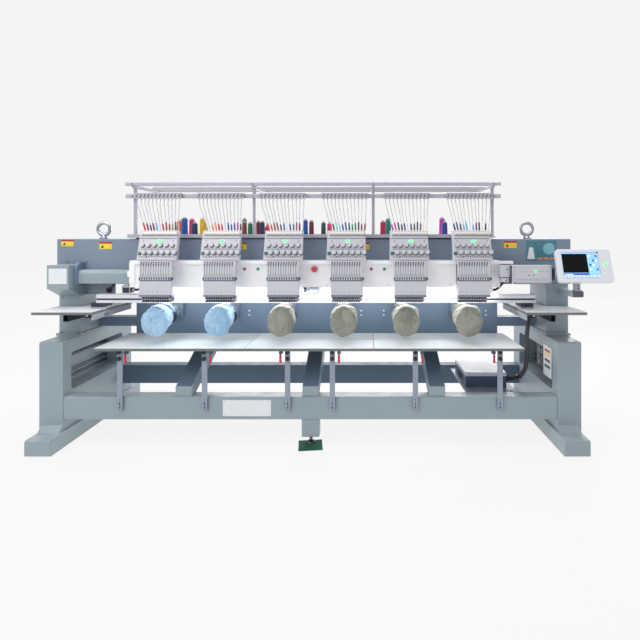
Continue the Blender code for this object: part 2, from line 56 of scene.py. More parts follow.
HEAD_PITCH = 0.400
NEEDLES = 12
NEEDLE_PITCH = 0.0152
CASE_SHIFT = 2.0 * NEEDLE_PITCH
CASE_HALF = 0.102
CASE_FRONT = -0.430
BASE_HALF = 0.125
BASE_MIDDLE = -0.005
NEEDLE_MIDDLE = -0.5 * NEEDLE_PITCH
SLOT_MIDDLE = -0.0085
SLOT_PITCH = 0.0157
BEND_ANGLE = math.radians(50.0)

# The cap frame's axis, and its cloth: depth, offset right and up, half width and half height
CAP_AXIS_Z = 0.796
CAP_SECTIONS = (
    (-0.186, 0.000, 0.000, 0.0690, 0.0700),
    (-0.240, 0.000, 0.000, 0.0725, 0.0745),
    (-0.290, 0.002, 0.000, 0.0800, 0.0830),
    (-0.318, 0.003, 0.000, 0.0835, 0.0860),
    (-0.335, 0.008, -0.001, 0.0865, 0.0870),
    (-0.352, 0.009, -0.006, 0.0865, 0.0890),
    (-0.372, 0.008, -0.012, 0.0870, 0.0920),
    (-0.388, 0.006, -0.018, 0.0870, 0.0930),
    (-0.397, 0.006, -0.021, 0.0850, 0.0920),
)
MOST_DRAPE = 0.0040

# Fronts of the upper beam and of the white covers, the push buttons' height
BEAM_FRONT = -0.215
PANEL_FRONT = -0.325
BUTTON_Z = 1.108

# The lower table's straps, and the side of each on which its lever hangs
STRAP_X = (-1.190, -0.660, -0.140, 0.140, 0.660, 1.190)
LEVER_SIDE = (1, 1, -1, 1, 1, -1)
LEVER_OFFSET = 0.042

# Thread stand
PLATE_PITCH = 0.410
PLATE_SHIFT = 0.0062
PLATE_HALF = 0.152
EYELET_PITCH = 0.0254
TUBE_RADIUS = 0.0029
SLEEVE_RADIUS = 0.0056

# Studio: the sky's strength, and each lamp's place, aim, width, height and power in watts
SKY_STRENGTH = 0.50
FLOOR_TONE = (0.06, 0.06, 0.06)
FLOOR_GLOW = 0.85
LIGHTS = (
    ("key", (-3.0, -3.3, 3.6), (0.0, 0.0, 0.8), 4.0, 3.0, 105.0),
    ("fill", (3.4, -3.6, 2.2), (0.2, 0.0, 0.7), 3.0, 3.0, 6.0),
    ("top", (0.0, -0.2, 4.8), (0.0, 0.0, 0.6), 6.0, 3.0, 150.0),
    ("strip_light", (0.0, -0.345, 0.975), (0.0, -0.300, 0.600), 2.25, 0.02, 4.5),
    ("rail_light", (0.0, -0.190, 0.880), (0.0, -0.050, 0.650), 2.40, 0.05, 3.0),
    ("back_light", (0.6, 3.0, 1.4), (0.6, 0.0, 0.4), 5.0, 1.0, 60.0),
)


def head_x(number):
    return (number - (HEADS + 1) / 2.0) * HEAD_PITCH


def cad_box(node):
    """A CAD node's lowest and highest corner, with X counted from the centre plane."""
    low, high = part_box(node)
    shift = Vector((CENTRE, 0.0, 0.0))
    return low - shift, high - shift


# Camera

def set_camera():
    """Stands in front of the machine, right of its middle, and looks straight along Y."""
    data = bpy.data.cameras.new("camera")
    data.lens = 26.83
    data.sensor_width = 36.0
    data.shift_x = -0.06875
    data.shift_y = -0.13125
    camera = bpy.data.objects.new("camera", data)
    camera.location = (0.272, -3.425, 1.323)
    camera.rotation_euler = (math.radians(90.0), 0.0, 0.0)
    bpy.context.scene.collection.objects.link(camera)
    bpy.context.scene.camera = camera


set_camera()


# Materials

def add_node(tree, kind, inputs=None, **settings):
    made = tree.nodes.new(kind)
    for name, value in settings.items():
        setattr(made, name, value)
    for name, value in (inputs or {}).items():
        if isinstance(value, bpy.types.NodeSocket):
            tree.links.new(value, made.inputs[name])
        else:
            made.inputs[name].default_value = value
    return made


def new_shader(name):
    material = bpy.data.materials.new(name)
    material.use_nodes = True
    tree = material.node_tree
    tree.nodes.clear()
    shader = tree.nodes.new("ShaderNodeBsdfPrincipled")
    output = tree.nodes.new("ShaderNodeOutputMaterial")
    tree.links.new(shader.outputs["BSDF"], output.inputs["Surface"])
    return material, tree, shader


def linear(red, green, blue):
    """A display colour from 0 to 255 as linear light."""
    values = [channel / 255.0 for channel in (red, green, blue)]
    return tuple(v / 12.92 if v <= 0.04045 else ((v + 0.055) / 1.055) ** 2.4 for v in values)


def shade(colour, factor):
    return tuple(min(1.0, channel * factor) for channel in colour)


def mix_colours(tree, factor, first, second):
    """A colour between two, where each may be a socket or three numbers."""
    mixed = add_node(tree, "ShaderNodeMix", data_type="RGBA")
    for index, value in ((0, factor), (6, first), (7, second)):
        if isinstance(value, bpy.types.NodeSocket):
            tree.links.new(value, mixed.inputs[index])
        elif index:
            mixed.inputs[index].default_value = (*value, 1.0)
        else:
            mixed.inputs[index].default_value = value
    return mixed.outputs[2]


def spread(tree, value, low, high, to_low=0.0, to_high=1.0):
    """Stretches the part of a value between low and high to another range."""
    inputs = {"Value": value, "From Min": low, "From Max": high, "To Min": to_low, "To Max": to_high}
    return add_node(tree, "ShaderNodeMapRange", inputs).outputs["Result"]


def noise(tree, place, scale, detail=3.0, stretch=None):
    if stretch:
        place = add_node(tree, "ShaderNodeMapping", {"Vector": place, "Scale": stretch}).outputs["Vector"]
    return add_node(tree, "ShaderNodeTexNoise",
        {"Vector": place, "Scale": scale, "Detail": detail}).outputs["Fac"]


def finish(name, colour, roughness, metallic=0.0, drift=0.06, grain=420.0, relief=0.12, coat=0.0, painted_top_light=0.0,
    stretch=None):
    """Paint, plastic or metal: uneven tone and gloss, fine grain, and pale patches of painted top light on
    what faces up.
    """
    material, tree, shader = new_shader(name)
    place = add_node(tree, "ShaderNodeTexCoord").outputs["Object"]
    broad = spread(tree, noise(tree, place, 2.2, 5.0), 0.32, 0.68)
    tone = mix_colours(tree, broad, shade(colour, 1.0 - drift), shade(colour, 1.0 + drift))
    speck = spread(tree, noise(tree, place, 95.0, 2.0, stretch), 0.42, 0.70, 0.0, 0.35)
    tone = mix_colours(tree, speck, tone, shade(colour, 1.0 - 1.6 * drift))
    # Painted top light: faces that point up are mixed towards pale grey in patches.
    if painted_top_light:
        normal = add_node(tree, "ShaderNodeNewGeometry").outputs["Normal"]
        up = add_node(tree, "ShaderNodeSeparateXYZ", {"Vector": normal}).outputs["Z"]
        patches = spread(tree, noise(tree, place, 9.0, 4.0), 0.30, 0.75, 0.0, painted_top_light)
        amount = add_node(tree, "ShaderNodeMath", {0: spread(tree, up, 0.5, 1.0), 1: patches},
            operation="MULTIPLY")
        tone = mix_colours(tree, amount.outputs[0], tone, (0.80, 0.80, 0.80))
    tree.links.new(tone, shader.inputs["Base Color"])
    gloss = spread(tree, noise(tree, place, 13.0, 4.0, stretch), 0.3, 0.7, max(0.05, roughness - 0.07),
        roughness + 0.09)
    tree.links.new(gloss, shader.inputs["Roughness"])
    grit = noise(tree, place, grain, 2.0, stretch)
    bump = add_node(tree, "ShaderNodeBump", {"Height": grit, "Strength": relief, "Distance": 0.0006})
    tree.links.new(bump.outputs["Normal"], shader.inputs["Normal"])
    shader.inputs["Metallic"].default_value = metallic
    shader.inputs["Coat Weight"].default_value = coat
    shader.inputs["Coat Roughness"].default_value = 0.12
    return material


def glowing(name, colour, strength):
    """A glowing surface, a little uneven along its length: lamps and screens, and painted light on the
    channel's back cover.
    """
    material, tree, shader = new_shader(name)
    place = add_node(tree, "ShaderNodeTexCoord").outputs["Object"]
    patches = spread(tree, noise(tree, place, 22.0, 2.0), 0.3, 0.7)
    tone = mix_colours(tree, patches, shade(colour, 0.86), colour)
    tree.links.new(tone, shader.inputs["Emission Color"])
    tree.links.new(tone, shader.inputs["Base Color"])
    shader.inputs["Emission Strength"].default_value = strength
    shader.inputs["Roughness"].default_value = 0.4
    return material


def cloth(name, colour, dark):
    """Woven cotton: crossed threads and creases in the relief, soft blotches in the tone and some sheen."""
    material, tree, shader = new_shader(name)
    place = add_node(tree, "ShaderNodeTexCoord").outputs["Object"]
    threads = []
    for direction in ("X", "Y", "Z"):
        wave = add_node(tree, "ShaderNodeTexWave", {"Vector": place, "Scale": 260.0, "Distortion": 1.2})
        wave.bands_direction = direction
        threads.append(wave.outputs["Fac"])
    weave = add_node(tree, "ShaderNodeMath", {0: threads[0], 1: threads[1]},
        operation="MULTIPLY").outputs[0]
    weave = add_node(tree, "ShaderNodeMath", {0: weave, 1: threads[2]}, operation="ADD").outputs[0]
    blotch = spread(tree, noise(tree, place, 11.0, 5.0), 0.35, 0.65)
    tone = mix_colours(tree, blotch, dark, colour)
    tone = mix_colours(tree, spread(tree, weave, 0.2, 1.6, 0.0, 0.22), tone, shade(dark, 0.8))
    tree.links.new(tone, shader.inputs["Base Color"])
    rough = spread(tree, noise(tree, place, 60.0, 3.0), 0.3, 0.7, 0.78, 0.95)
    tree.links.new(rough, shader.inputs["Roughness"])
    swell = add_node(tree, "ShaderNodeMath", {0: noise(tree, place, 15.0, 1.0), 1: 0.5},
        operation="SUBTRACT")
    crease = add_node(tree, "ShaderNodeMath", {0: swell.outputs[0]}, operation="ABSOLUTE").outputs[0]
    crease = spread(tree, crease, 0.0, 0.07)
    folds = add_node(tree, "ShaderNodeBump", {"Height": crease, "Strength": 0.8, "Distance": 0.0050})
    inputs = {"Height": weave, "Strength": 0.35, "Distance": 0.0005, "Normal": folds.outputs["Normal"]}
    bump = add_node(tree, "ShaderNodeBump", inputs)
    tree.links.new(bump.outputs["Normal"], shader.inputs["Normal"])
    shader.inputs["Sheen Weight"].default_value = 0.3
    shader.inputs["Sheen Roughness"].default_value = 0.45
    return material


def glowing_floor():
    """A pale sweep that is lit evenly from inside, so that the machine leaves only a faint shadow."""
    material, tree, shader = new_shader("studio_floor")
    place = add_node(tree, "ShaderNodeTexCoord").outputs["Object"]
    cloud = spread(tree, noise(tree, place, 0.6, 3.0), 0.3, 0.7)
    tree.links.new(mix_colours(tree, cloud, shade(FLOOR_TONE, 0.97), FLOOR_TONE),
        shader.inputs["Base Color"])
    shader.inputs["Roughness"].default_value = 0.8
    shader.inputs["Emission Color"].default_value = (1.0, 1.0, 1.0, 1.0)
    shader.inputs["Emission Strength"].default_value = FLOOR_GLOW
    return material


def wound_thread(name, colour):
    """Cross-wound polyester thread on a cone: fine slanted turns with a silky shine."""
    material, tree, shader = new_shader(name)
    place = add_node(tree, "ShaderNodeTexCoord").outputs["Object"]
    wave = add_node(tree, "ShaderNodeTexWave",
        {"Vector": place, "Scale": 230.0, "Distortion": 2.5, "Detail": 2.0})
    wave.bands_direction = "Z"
    turns = wave.outputs["Fac"]
    tone = mix_colours(tree, turns, shade(colour, 0.62), shade(colour, 1.2))
    tree.links.new(tone, shader.inputs["Base Color"])
    tree.links.new(spread(tree, turns, 0.0, 1.0, 0.34, 0.52), shader.inputs["Roughness"])
    bump = add_node(tree, "ShaderNodeBump", {"Height": turns, "Strength": 0.45, "Distance": 0.0006})
    tree.links.new(bump.outputs["Normal"], shader.inputs["Normal"])
    shader.inputs["Sheen Weight"].default_value = 0.25
    return material


def clear_tube(name):
    """Milky nylon thread tubing."""
    material, tree, shader = new_shader(name)
    place = add_node(tree, "ShaderNodeTexCoord").outputs["Object"]
    cloud = spread(tree, noise(tree, place, 45.0, 3.0), 0.3, 0.7)
    tone = mix_colours(tree, cloud, linear(172, 170, 182), linear(200, 199, 208))
    tree.links.new(tone, shader.inputs["Base Color"])
    tree.links.new(spread(tree, cloud, 0.0, 1.0, 0.18, 0.32), shader.inputs["Roughness"])
    shader.inputs["Coat Weight"].default_value = 0.25
    return material


FRAME = finish("frame_paint", linear(145, 160, 168), 0.40, drift=0.05, relief=0.22, coat=0.15, painted_top_light=0.25)
BEAM = finish("beam_paint", linear(124, 138, 156), 0.42, drift=0.05, relief=0.25, coat=0.10, painted_top_light=0.20)
WALL = finish("wall_paint", linear(108, 128, 150), 0.45, drift=0.08, relief=0.25, coat=0.08)
WHITE = finish("cover_white", linear(200, 199, 206), 0.34, drift=0.03, grain=600.0, relief=0.10, coat=0.12,
    painted_top_light=0.2)
SHELL = finish("panel_plastic", linear(222, 225, 231), 0.30, drift=0.02, grain=900.0, relief=0.08, coat=0.2)
BOARD = finish("table_laminate", linear(216, 222, 223), 0.50, drift=0.012, grain=1100.0, relief=0.02)
WING = finish("wing_laminate", linear(216, 217, 222), 0.50, drift=0.012, grain=1100.0, relief=0.02)
EDGE = finish("edge_band", linear(112, 117, 115), 0.55, drift=0.12, grain=500.0, relief=0.3)
RACK = finish("rack_paint", linear(176, 175, 186), 0.38, drift=0.04, relief=0.15, coat=0.1, painted_top_light=0.2)
BOX = finish("box_paint", linear(218, 217, 230), 0.36, drift=0.05, relief=0.2, painted_top_light=0.4)
BOX_DARK = finish("box_side", linear(74, 88, 112), 0.45, drift=0.08, relief=0.2)
SILVER = finish("silver_rail", linear(196, 199, 206), 0.30, 0.75, drift=0.05, grain=160.0, relief=0.10,
    stretch=(0.05, 1.0, 1.0))
STEEL = finish("steel", linear(176, 179, 186), 0.26, 0.95, drift=0.08, grain=300.0, relief=0.15)
DARK_STEEL = finish("dark_steel", linear(96, 100, 110), 0.34, 0.85, drift=0.10, grain=300.0, relief=0.2)
STRAP = finish("strap_zinc", linear(148, 158, 172), 0.40, 0.20, drift=0.06, grain=260.0, relief=0.15)
BLACK = finish("black_plastic", linear(34, 36, 44), 0.42, drift=0.15, relief=0.25)
# Navy-black paint of the motors and sliders, also used as painted shade in the X beam's slot.
NAVY = finish("navy_paint_and_shade", linear(38, 46, 66), 0.40, drift=0.12, relief=0.3)
RUBBER = finish("conduit_rubber", linear(72, 70, 78), 0.55, drift=0.14, grain=300.0, relief=0.4)
BAND = finish("band_grey", linear(136, 142, 160), 0.38, 0.2, drift=0.06)
GROOVE = finish("groove_shadow", linear(92, 94, 106), 0.6, drift=0.10)
RED = finish("red_plastic", linear(204, 34, 62), 0.30, drift=0.08, coat=0.4)
GREEN = finish("green_plastic", linear(16, 150, 104), 0.30, drift=0.08, coat=0.4)
SWITCH = finish("switch_green", linear(14, 92, 82), 0.34, drift=0.10, coat=0.3)
MAT = finish("pad_rubber", linear(34, 100, 72), 0.70, drift=0.35, grain=180.0, relief=0.6)
YELLOW = finish("label_yellow", linear(238, 208, 56), 0.40, drift=0.05)
LABEL_RED = finish("label_red", linear(190, 32, 52), 0.40, drift=0.05)
ORANGE = finish("label_orange", linear(226, 142, 74), 0.40, drift=0.05)
PLATE = finish("name_plate", linear(226, 228, 233), 0.30, drift=0.03, coat=0.2)
TEAL = finish("poster_teal", linear(68, 122, 140), 0.30, drift=0.12, coat=0.4)
TEAL_LIGHT = finish("poster_light", linear(128, 186, 198), 0.30, drift=0.15, coat=0.4)
# Ink for print, and also painted shade: the knobs' shadows, the dark floor of the take-up slots and the
# curved groove line.
INK_AND_SHADE = finish("ink_and_shade", linear(74, 76, 92), 0.5, drift=0.1)
DARK_GLASS = finish("display_black", linear(10, 11, 13), 0.30, drift=0.2, relief=0.02)
GLASS_SPECULAR = 0.15
DARK_GLASS.node_tree.nodes["Principled BSDF"].inputs["Specular IOR Level"].default_value = GLASS_SPECULAR
# The rear beam's blue-grey paint, darkened as painted shade for its place under the table.
REAR_SHADED = finish("rear_paint_shaded", linear(84, 104, 122), 0.50, drift=0.06, relief=0.2)
# White of the front panel and colour change bar: their own white, made paler than the head covers' as painted
# light against the heads' shade.
COVER_PAINTED_LIGHT = finish("front_cover_painted_light", linear(252, 252, 254), 0.36, drift=0.015, grain=600.0, relief=0.06)
SKY = glowing("display_blue", linear(146, 204, 250), 0.42)
DEEP_BLUE = glowing("display_bar", linear(66, 98, 190), 0.42)
PALE_GLOW = glowing("display_white", linear(228, 236, 255), 0.42)
GREEN_GLOW = glowing("led_green", linear(96, 250, 130), 1.1)
GREEN_HALO = glowing("led_halo", linear(176, 238, 196), 0.50)
WHITE_GLOW = glowing("light_strip", linear(255, 252, 255), 1.4)
# Painted light: the channel's back cover glows faintly for the light the strip throws on it.
PAINTED_GLOW_WHITE = glowing("cover_painted_glow", linear(248, 246, 250), 0.12)
BLUE_CLOTH = cloth("fabric_blue", linear(178, 212, 238), linear(150, 190, 222))
KHAKI_CLOTH = cloth("fabric_khaki", linear(162, 162, 150), linear(128, 131, 122))
TUBE = clear_tube("thread_tube")
CORE = finish("cone_core", linear(206, 190, 188), 0.5, drift=0.06)
CREAM = finish("strip_cream", linear(238, 228, 212), 0.45, drift=0.04)
RAIL = finish("rail_silver", linear(222, 222, 228), 0.34, 0.15, drift=0.04, grain=160.0, relief=0.08,
    stretch=(0.05, 1.0, 1.0))
ROSE = finish("rail_line", linear(206, 176, 190), 0.45, drift=0.06)

THREADS = {
    "blue": (30, 88, 176), "navy": (40, 58, 98), "pink": (216, 44, 110), "yellow": (246, 190, 30),
    "brown": (146, 72, 60), "green": (22, 128, 84), "maroon": (124, 36, 60), "crimson": (200, 30, 78),
    "teal": (22, 140, 130), "purple": (98, 52, 150), "indigo": (62, 66, 160), "plum": (128, 44, 96),
    "tan": (176, 136, 84), "salmon": (244, 138, 106), "sky": (104, 172, 224), "dark": (64, 50, 66),
    "red": (214, 36, 44), "magenta": (186, 66, 160), "forest": (28, 74, 78), "orange": (236, 112, 40),
    "aqua": (150, 206, 214), "ebony": (30, 50, 50),
}
THREAD = {name: wound_thread(f"thread_{name}", linear(*rgb)) for name, rgb in THREADS.items()}


# Shapes

def close(part):
    bmesh.ops.recalc_face_normals(part, faces=part.faces)
    return part


def soften(part, width, segments=2, least=35.0):
    """Rounds the edges whose faces meet at more than the least angle, in degrees."""
    if width > 0.0:
        limit = math.radians(least)
        edges = [e for e in part.edges if len(e.link_faces) == 2 and e.calc_face_angle() > limit]
        bmesh.ops.bevel(
            part, geom=edges, offset=width, segments=segments, profile=0.5, affect="EDGES",
                clamp_overlap=True
        )
    return part


def prism(outline, axis, span, bevel=0.0, segments=2):
    """A closed polygon pushed along an axis. Its points are the other two coordinates, in X, Y, Z order."""
    part = bmesh.new()
    ring = []
    for first, second in outline:
        point = [first, second]
        point.insert("XYZ".index(axis), span[0])
        ring.append(part.verts.new(point))
    face = part.faces.new(ring)
    pushed = bmesh.ops.extrude_face_region(part, geom=[face])["geom"]
    step = Vector()
    step["XYZ".index(axis)] = span[1] - span[0]
    bmesh.ops.translate(part, verts=[v for v in pushed if isinstance(v, bmesh.types.BMVert)], vec=step)
    return soften(close(part), bevel, segments)


def block(x, y, z, bevel=0.001, segments=1):
    return prism([(x[0], y[0]), (x[1], y[0]), (x[1], y[1]), (x[0], y[1])], "Z", z, bevel, segments)


def rounded(first, second, radius, steps=5):
    """A rectangle's outline with quarter-circle corners."""
    corners = (
        (first[1] - radius, second[1] - radius, 0.0),
        (first[0] + radius, second[1] - radius, 90.0),
        (first[0] + radius, second[0] + radius, 180.0),
        (first[1] - radius, second[0] + radius, 270.0),
    )
    outline = []
    for centre_a, centre_b, start in corners:
        for step in range(steps + 1):
            angle = math.radians(start + 90.0 * step / steps)
            outline.append((centre_a + radius * math.cos(angle), centre_b + radius * math.sin(angle)))
    return outline


def aim(origin, axis):
    """A matrix that stands a shape drawn along +Z at the origin along another axis."""
    return Matrix.Translation(origin) @ Vector(axis).to_track_quat("Z", "Y").to_matrix().to_4x4()


def turned(profile, origin, axis, sides=20):
    """A shape of revolution. The profile is (distance along the axis, radius), from one end to the other."""
    part = bmesh.new()
    rings = []
    for along, radius in profile:
        if radius < 1e-7:
            rings.append([part.verts.new((0.0, 0.0, along))])
            continue
        turn = 2.0 * math.pi / sides
        rings.append(
            [part.verts.new((radius * math.cos(turn * s), radius * math.sin(turn * s),
                along)) for s in range(sides)]
        )
    for lower, upper in zip(rings, rings[1:]):
        for step in range(sides):
            after = (step + 1) % sides
            corners = [lower[step % len(lower)], lower[after % len(lower)], upper[after % len(upper)],
                upper[step % len(upper)]]
            part.faces.new(list(dict.fromkeys(corners)))
    for ring in (rings[0], rings[-1]):
        if len(ring) > 1:
            part.faces.new(ring)
    close(part)
    part.transform(aim(origin, axis))
    return part


def rod(origin, axis, length, radius, sides=20, edge=0.0008):
    edge = min(edge, radius * 0.4, length * 0.4)
    profile = [(0.0, radius - edge), (edge, radius), (length - edge, radius), (length, radius - edge)]
    return turned(profile, origin, axis, sides)


def sweep(points, radius, sides=8, radii=None, closed=False):
    """A tube along points. Radii, where given, is the radius at each point."""
    part = bmesh.new()
    path = [Vector(point) for point in points]
    count = len(path)
    rings = []
    side = None
    for index, point in enumerate(path):
        if closed:
            along = path[(index + 1) % count] - path[index - 1]
        else:
            along = path[min(index + 1, count - 1)] - path[max(index - 1, 0)]
        along.normalize()
        if side is None:
            side = along.orthogonal().normalized()
        side = (side - along * side.dot(along)).normalized()
        other = along.cross(side)
        size = radii[index] if radii else radius
        ring = []
        for step in range(sides):
            angle = 2.0 * math.pi * step / sides
            ring.append(part.verts.new(point + (side * math.cos(angle) + other * math.sin(angle)) * size))
        rings.append(ring)
    pairs = list(zip(rings, rings[1:]))
    if closed:
        pairs.append((rings[-1], rings[0]))
    for lower, upper in pairs:
        for step in range(sides):
            after = (step + 1) % sides
            part.faces.new((lower[step], lower[after], upper[after], upper[step]))
    if not closed:
        part.faces.new(rings[0])
        part.faces.new(rings[-1])
    return close(part)


def smooth_route(points, count):
    """Evenly counted points on a Catmull-Rom curve through the route's own points."""
    points = [Vector(point) for point in points]
    ends = [points[0] * 2.0 - points[1], *points, points[-1] * 2.0 - points[-2]]
    spans = len(points) - 1
    route = []
    for step in range(count):
        place_on = spans * step / (count - 1)
        span = min(int(place_on), spans - 1)
        t = place_on - span
        before, start, end, after = ends[span : span + 4]
        bend = (2.0 * before - 5.0 * start + 4.0 * end - after) * t**2
        twist = (3.0 * start - before - 3.0 * end + after) * t**3
        route.append(0.5 * (2.0 * start + (end - before) * t + bend + twist))
    return route


def carve(part, cutters):
    """Cuts closed shapes out of a part, and returns what is left."""
    target_mesh = bpy.data.meshes.new("target")
    part.to_mesh(target_mesh)
    part.free()
    target = bpy.data.objects.new("target", target_mesh)
    bpy.context.scene.collection.objects.link(target)
    joined = bmesh.new()
    for cutter in cutters:
        scrap = bpy.data.meshes.new("cutter")
        cutter.to_mesh(scrap)
        cutter.free()
        joined.from_mesh(scrap)
        bpy.data.meshes.remove(scrap)
    tool_mesh = bpy.data.meshes.new("tool")
    joined.to_mesh(tool_mesh)
    joined.free()
    tool = bpy.data.objects.new("tool", tool_mesh)
    bpy.context.scene.collection.objects.link(tool)
    modifier = target.modifiers.new("carve", "BOOLEAN")
    modifier.operation = "DIFFERENCE"
    modifier.solver = "EXACT"
    modifier.use_self = True
    modifier.object = tool
    graph = bpy.context.evaluated_depsgraph_get()
    result = bpy.data.meshes.new_from_object(target.evaluated_get(graph))
    left = bmesh.new()
    left.from_mesh(result)
    for obj in (target, tool):
        bpy.data.objects.remove(obj, do_unlink=True)
    for mesh in (target_mesh, tool_mesh, result):
        bpy.data.meshes.remove(mesh)
    return left


def cad_shape(node, width, segments=2):
    """A CAD node's own shape with its edges rounded, X counted from the centre plane."""
    part = bmesh.new()
    part.from_mesh(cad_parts[node].data)
    bmesh.ops.remove_doubles(part, verts=part.verts, dist=1e-5)
    bmesh.ops.dissolve_limit(part, angle_limit=math.radians(1.0), verts=part.verts, edges=part.edges)
    part.transform(Matrix.Translation((-CENTRE, 0.0, 0.0)))
    return soften(part, width, segments)


class Piece:
    """The geometry of one visible piece, in one or more materials."""

    def __init__(self):
        self.bm = bmesh.new()
        self.materials = []

    def add(self, part, material, matrix=None):
        if material not in self.materials:
            self.materials.append(material)
        index = self.materials.index(material)
        for face in part.faces:
            face.material_index = index
            face.smooth = True
        if matrix is not None:
            part.transform(matrix)
        scrap = bpy.data.meshes.new("scrap")
        part.to_mesh(scrap)
        part.free()
        self.bm.from_mesh(scrap)
        bpy.data.meshes.remove(scrap)

    def screw(self, origin, axis, radius, material=None, height=None):
        """A domed screw head with a round socket."""
        height = height or radius * 0.7
        profile = [
            (0.0, radius),
            (height * 0.5, radius),
            (height, radius * 0.72),
            (height, radius * 0.42),
            (height * 0.35, radius * 0.38),
            (height * 0.35, 0.0),
        ]
        self.add(turned(profile, origin, axis, 12), material or STEEL)

    def mesh(self, name):
        made = bpy.data.meshes.new(name)
        self.bm.to_mesh(made)
        made.set_sharp_from_angle(angle=BEND_ANGLE)
        for material in self.materials:
            made.materials.append(material)
        return made

    def done(self, name, body, replaces=()):
        made = self.mesh(name)
        self.bm.free()
        return settle(name, made, body, replaces)


def settle(name, mesh, body, replaces=(), shift=0.0):
    """Puts a mesh drawn from the centre plane into the scene, on its body."""
    mesh.transform(Matrix.Translation((CENTRE + shift, 0.0, 0.0)))
    obj = bpy.data.objects.new(name, mesh)
    bpy.context.scene.collection.objects.link(obj)
    normals = obj.modifiers.new("normals", "WEIGHTED_NORMAL")
    normals.keep_sharp = True
    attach(obj, body)
    if replaces:
        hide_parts(*replaces)
    return obj


def flip(side, span):
    return span if side > 0 else (-span[1], -span[0])


# Frame

def weld_bead(points, radius=0.003):
    """A slightly lumpy bead of weld along a line."""
    route = smooth_route(points, 60)
    radii = [radius * (1.0 + 0.22 * math.sin(2.1 * i) * math.cos(0.7 * i)) for i in range(len(route))]
    return sweep(route, radius, 8, radii)


def side_frame(side):
    name = "side_frame_right" if side > 0 else "side_frame_left"
    low, high = cad_box(name)
    piece = Piece()
    piece.add(cad_shape(name, 0.004, 3), FRAME)
    foot_x = flip(side, (1.540, 1.693))
    for y, out in ((low.y, -1.0), (high.y, 1.0)):
        for x in (foot_x[0] + 0.020, foot_x[1] - 0.020):
            for z in (0.017, 0.080):
                piece.screw((x, y, z), (0.0, out, 0.0), 0.0050, STEEL, 0.0015)
    inner = side * 1.556
    for z in (0.360, 0.400, 0.500):
        rail_x = flip(side, (1.668, 1.6905))
        piece.add(block(rail_x, (-0.330, 0.305), (z, z + 0.012), 0.002), DARK_STEEL)
    piece.add(weld_bead([(inner, -0.424, 0.3125), (inner - side * 0.001, -0.38, 0.3130),
        (inner, -0.327, 0.3125)]), FRAME)
    piece.done(name, "frame", [name])


def recess_electrics():
    """The relay box, its terminals and its plain sorted labels in the right side's recess."""
    piece = Piece()
    piece.add(block((1.600, 1.689), (-0.310, 0.060), (0.374, 0.556), 0.003, 2), BLACK)
    for row, z in enumerate((0.400, 0.450, 0.500)):
        for column in range(6):
            y = -0.285 + 0.050 * column
            piece.add(block((1.588, 1.602), (y, y + 0.036), (z, z + 0.030), 0.002),
                NAVY if row % 2 else DARK_STEEL)
            piece.screw((1.588, y + 0.018, z + 0.015), (-1.0, 0.0, 0.0), 0.004, STEEL)
    plate_y = (-0.334, -0.197)
    piece.add(block((1.5515, 1.5545), plate_y, (0.392, 0.594), 0.0008), PLATE)
    for z, colour in ((0.572, LABEL_RED), (0.546, YELLOW), (0.508, INK_AND_SHADE), (0.468, MAT)):
        piece.add(block((1.5505, 1.5516), (plate_y[0] + 0.022, plate_y[1] - 0.026), (z - 0.017, z), 0.0),
            colour)
    piece.done("recess_electrics", "frame")


def front_beam():
    low, high = cad_box("front_beam")
    piece = Piece()
    beam_y = (-0.425, -0.325)
    piece.add(block((low.x, high.x), beam_y, (0.168, 0.311), 0.006, 3), FRAME)
    leg = prism(rounded((-0.056, 0.056), (-0.420, -0.330), 0.010), "Z", (0.0565, 0.169), 0.002, 2)
    piece.add(leg, FRAME)
    foot = (0.0, -0.375, 0.0)
    piece.add(turned([(0.0065, 0.030), (0.011, 0.030), (0.016, 0.024), (0.024, 0.011), (0.024, 0.0)], foot,
        (0, 0, 1), 24), DARK_STEEL)
    piece.add(turned([(0.018, 0.009), (0.050, 0.009), (0.050, 0.0)], foot, (0, 0, 1), 16), STEEL)
    piece.add(turned([(0.040, 0.018), (0.0565, 0.022), (0.0565, 0.0)], foot, (0, 0, 1), 6), DARK_STEEL)
    for z in (0.046, 0.050):
        piece.add(turned([(z, 0.0095), (z + 0.001, 0.0102), (z + 0.002, 0.0095)], foot, (0, 0, 1), 16),
            STEEL)
    plate = prism(rounded((-0.550, -0.246), (0.190, 0.292), 0.004), "Y", (-0.4275, -0.425), 0.0008, 1)
    piece.add(plate, PLATE)
    for x in (-0.540, -0.256):
        for z in (0.200, 0.282):
            piece.screw((x, -0.4275, z), (0, -1, 0), 0.0028, STEEL, 0.001)
    for x in STRAP_X:
        piece.add(block((x - 0.020, x + 0.020), (-0.4335, -0.425), (0.232, 0.300), 0.002), BAND)
    piece.done("front_beam", "frame", ["front_beam"])


def rear_beam():
    low, high = cad_box("rear_beam")
    piece = Piece()
    # Painted shade: the beam's paint is darkened for the shade under the table.
    piece.add(block((low.x, high.x), (low.y, high.y), (low.z, high.z), 0.006, 3), REAR_SHADED)
    piece.done("rear_beam", "frame", ["rear_beam"])


def floor_pad():
    """A ribbed rubber mat."""
    low, high = cad_box("floor_pad")
    middle = (low + high) / 2.0
    piece = Piece()
    turn = Matrix.Translation((middle.x, middle.y, 0.0)) @ Matrix.Rotation(math.radians(7.0), 4, "Z")
    piece.add(prism(rounded((-0.075, 0.075), (-0.075, 0.075), 0.004), "Z", (0.0, 0.0040), 0.001), MAT, turn)
    for step in range(13):
        x = -0.066 + 0.011 * step
        piece.add(block((x - 0.003, x + 0.003), (-0.070, 0.070), (0.0038, 0.0060), 0.001), MAT, turn)
    piece.done("floor_pad", "frame", ["floor_pad"])


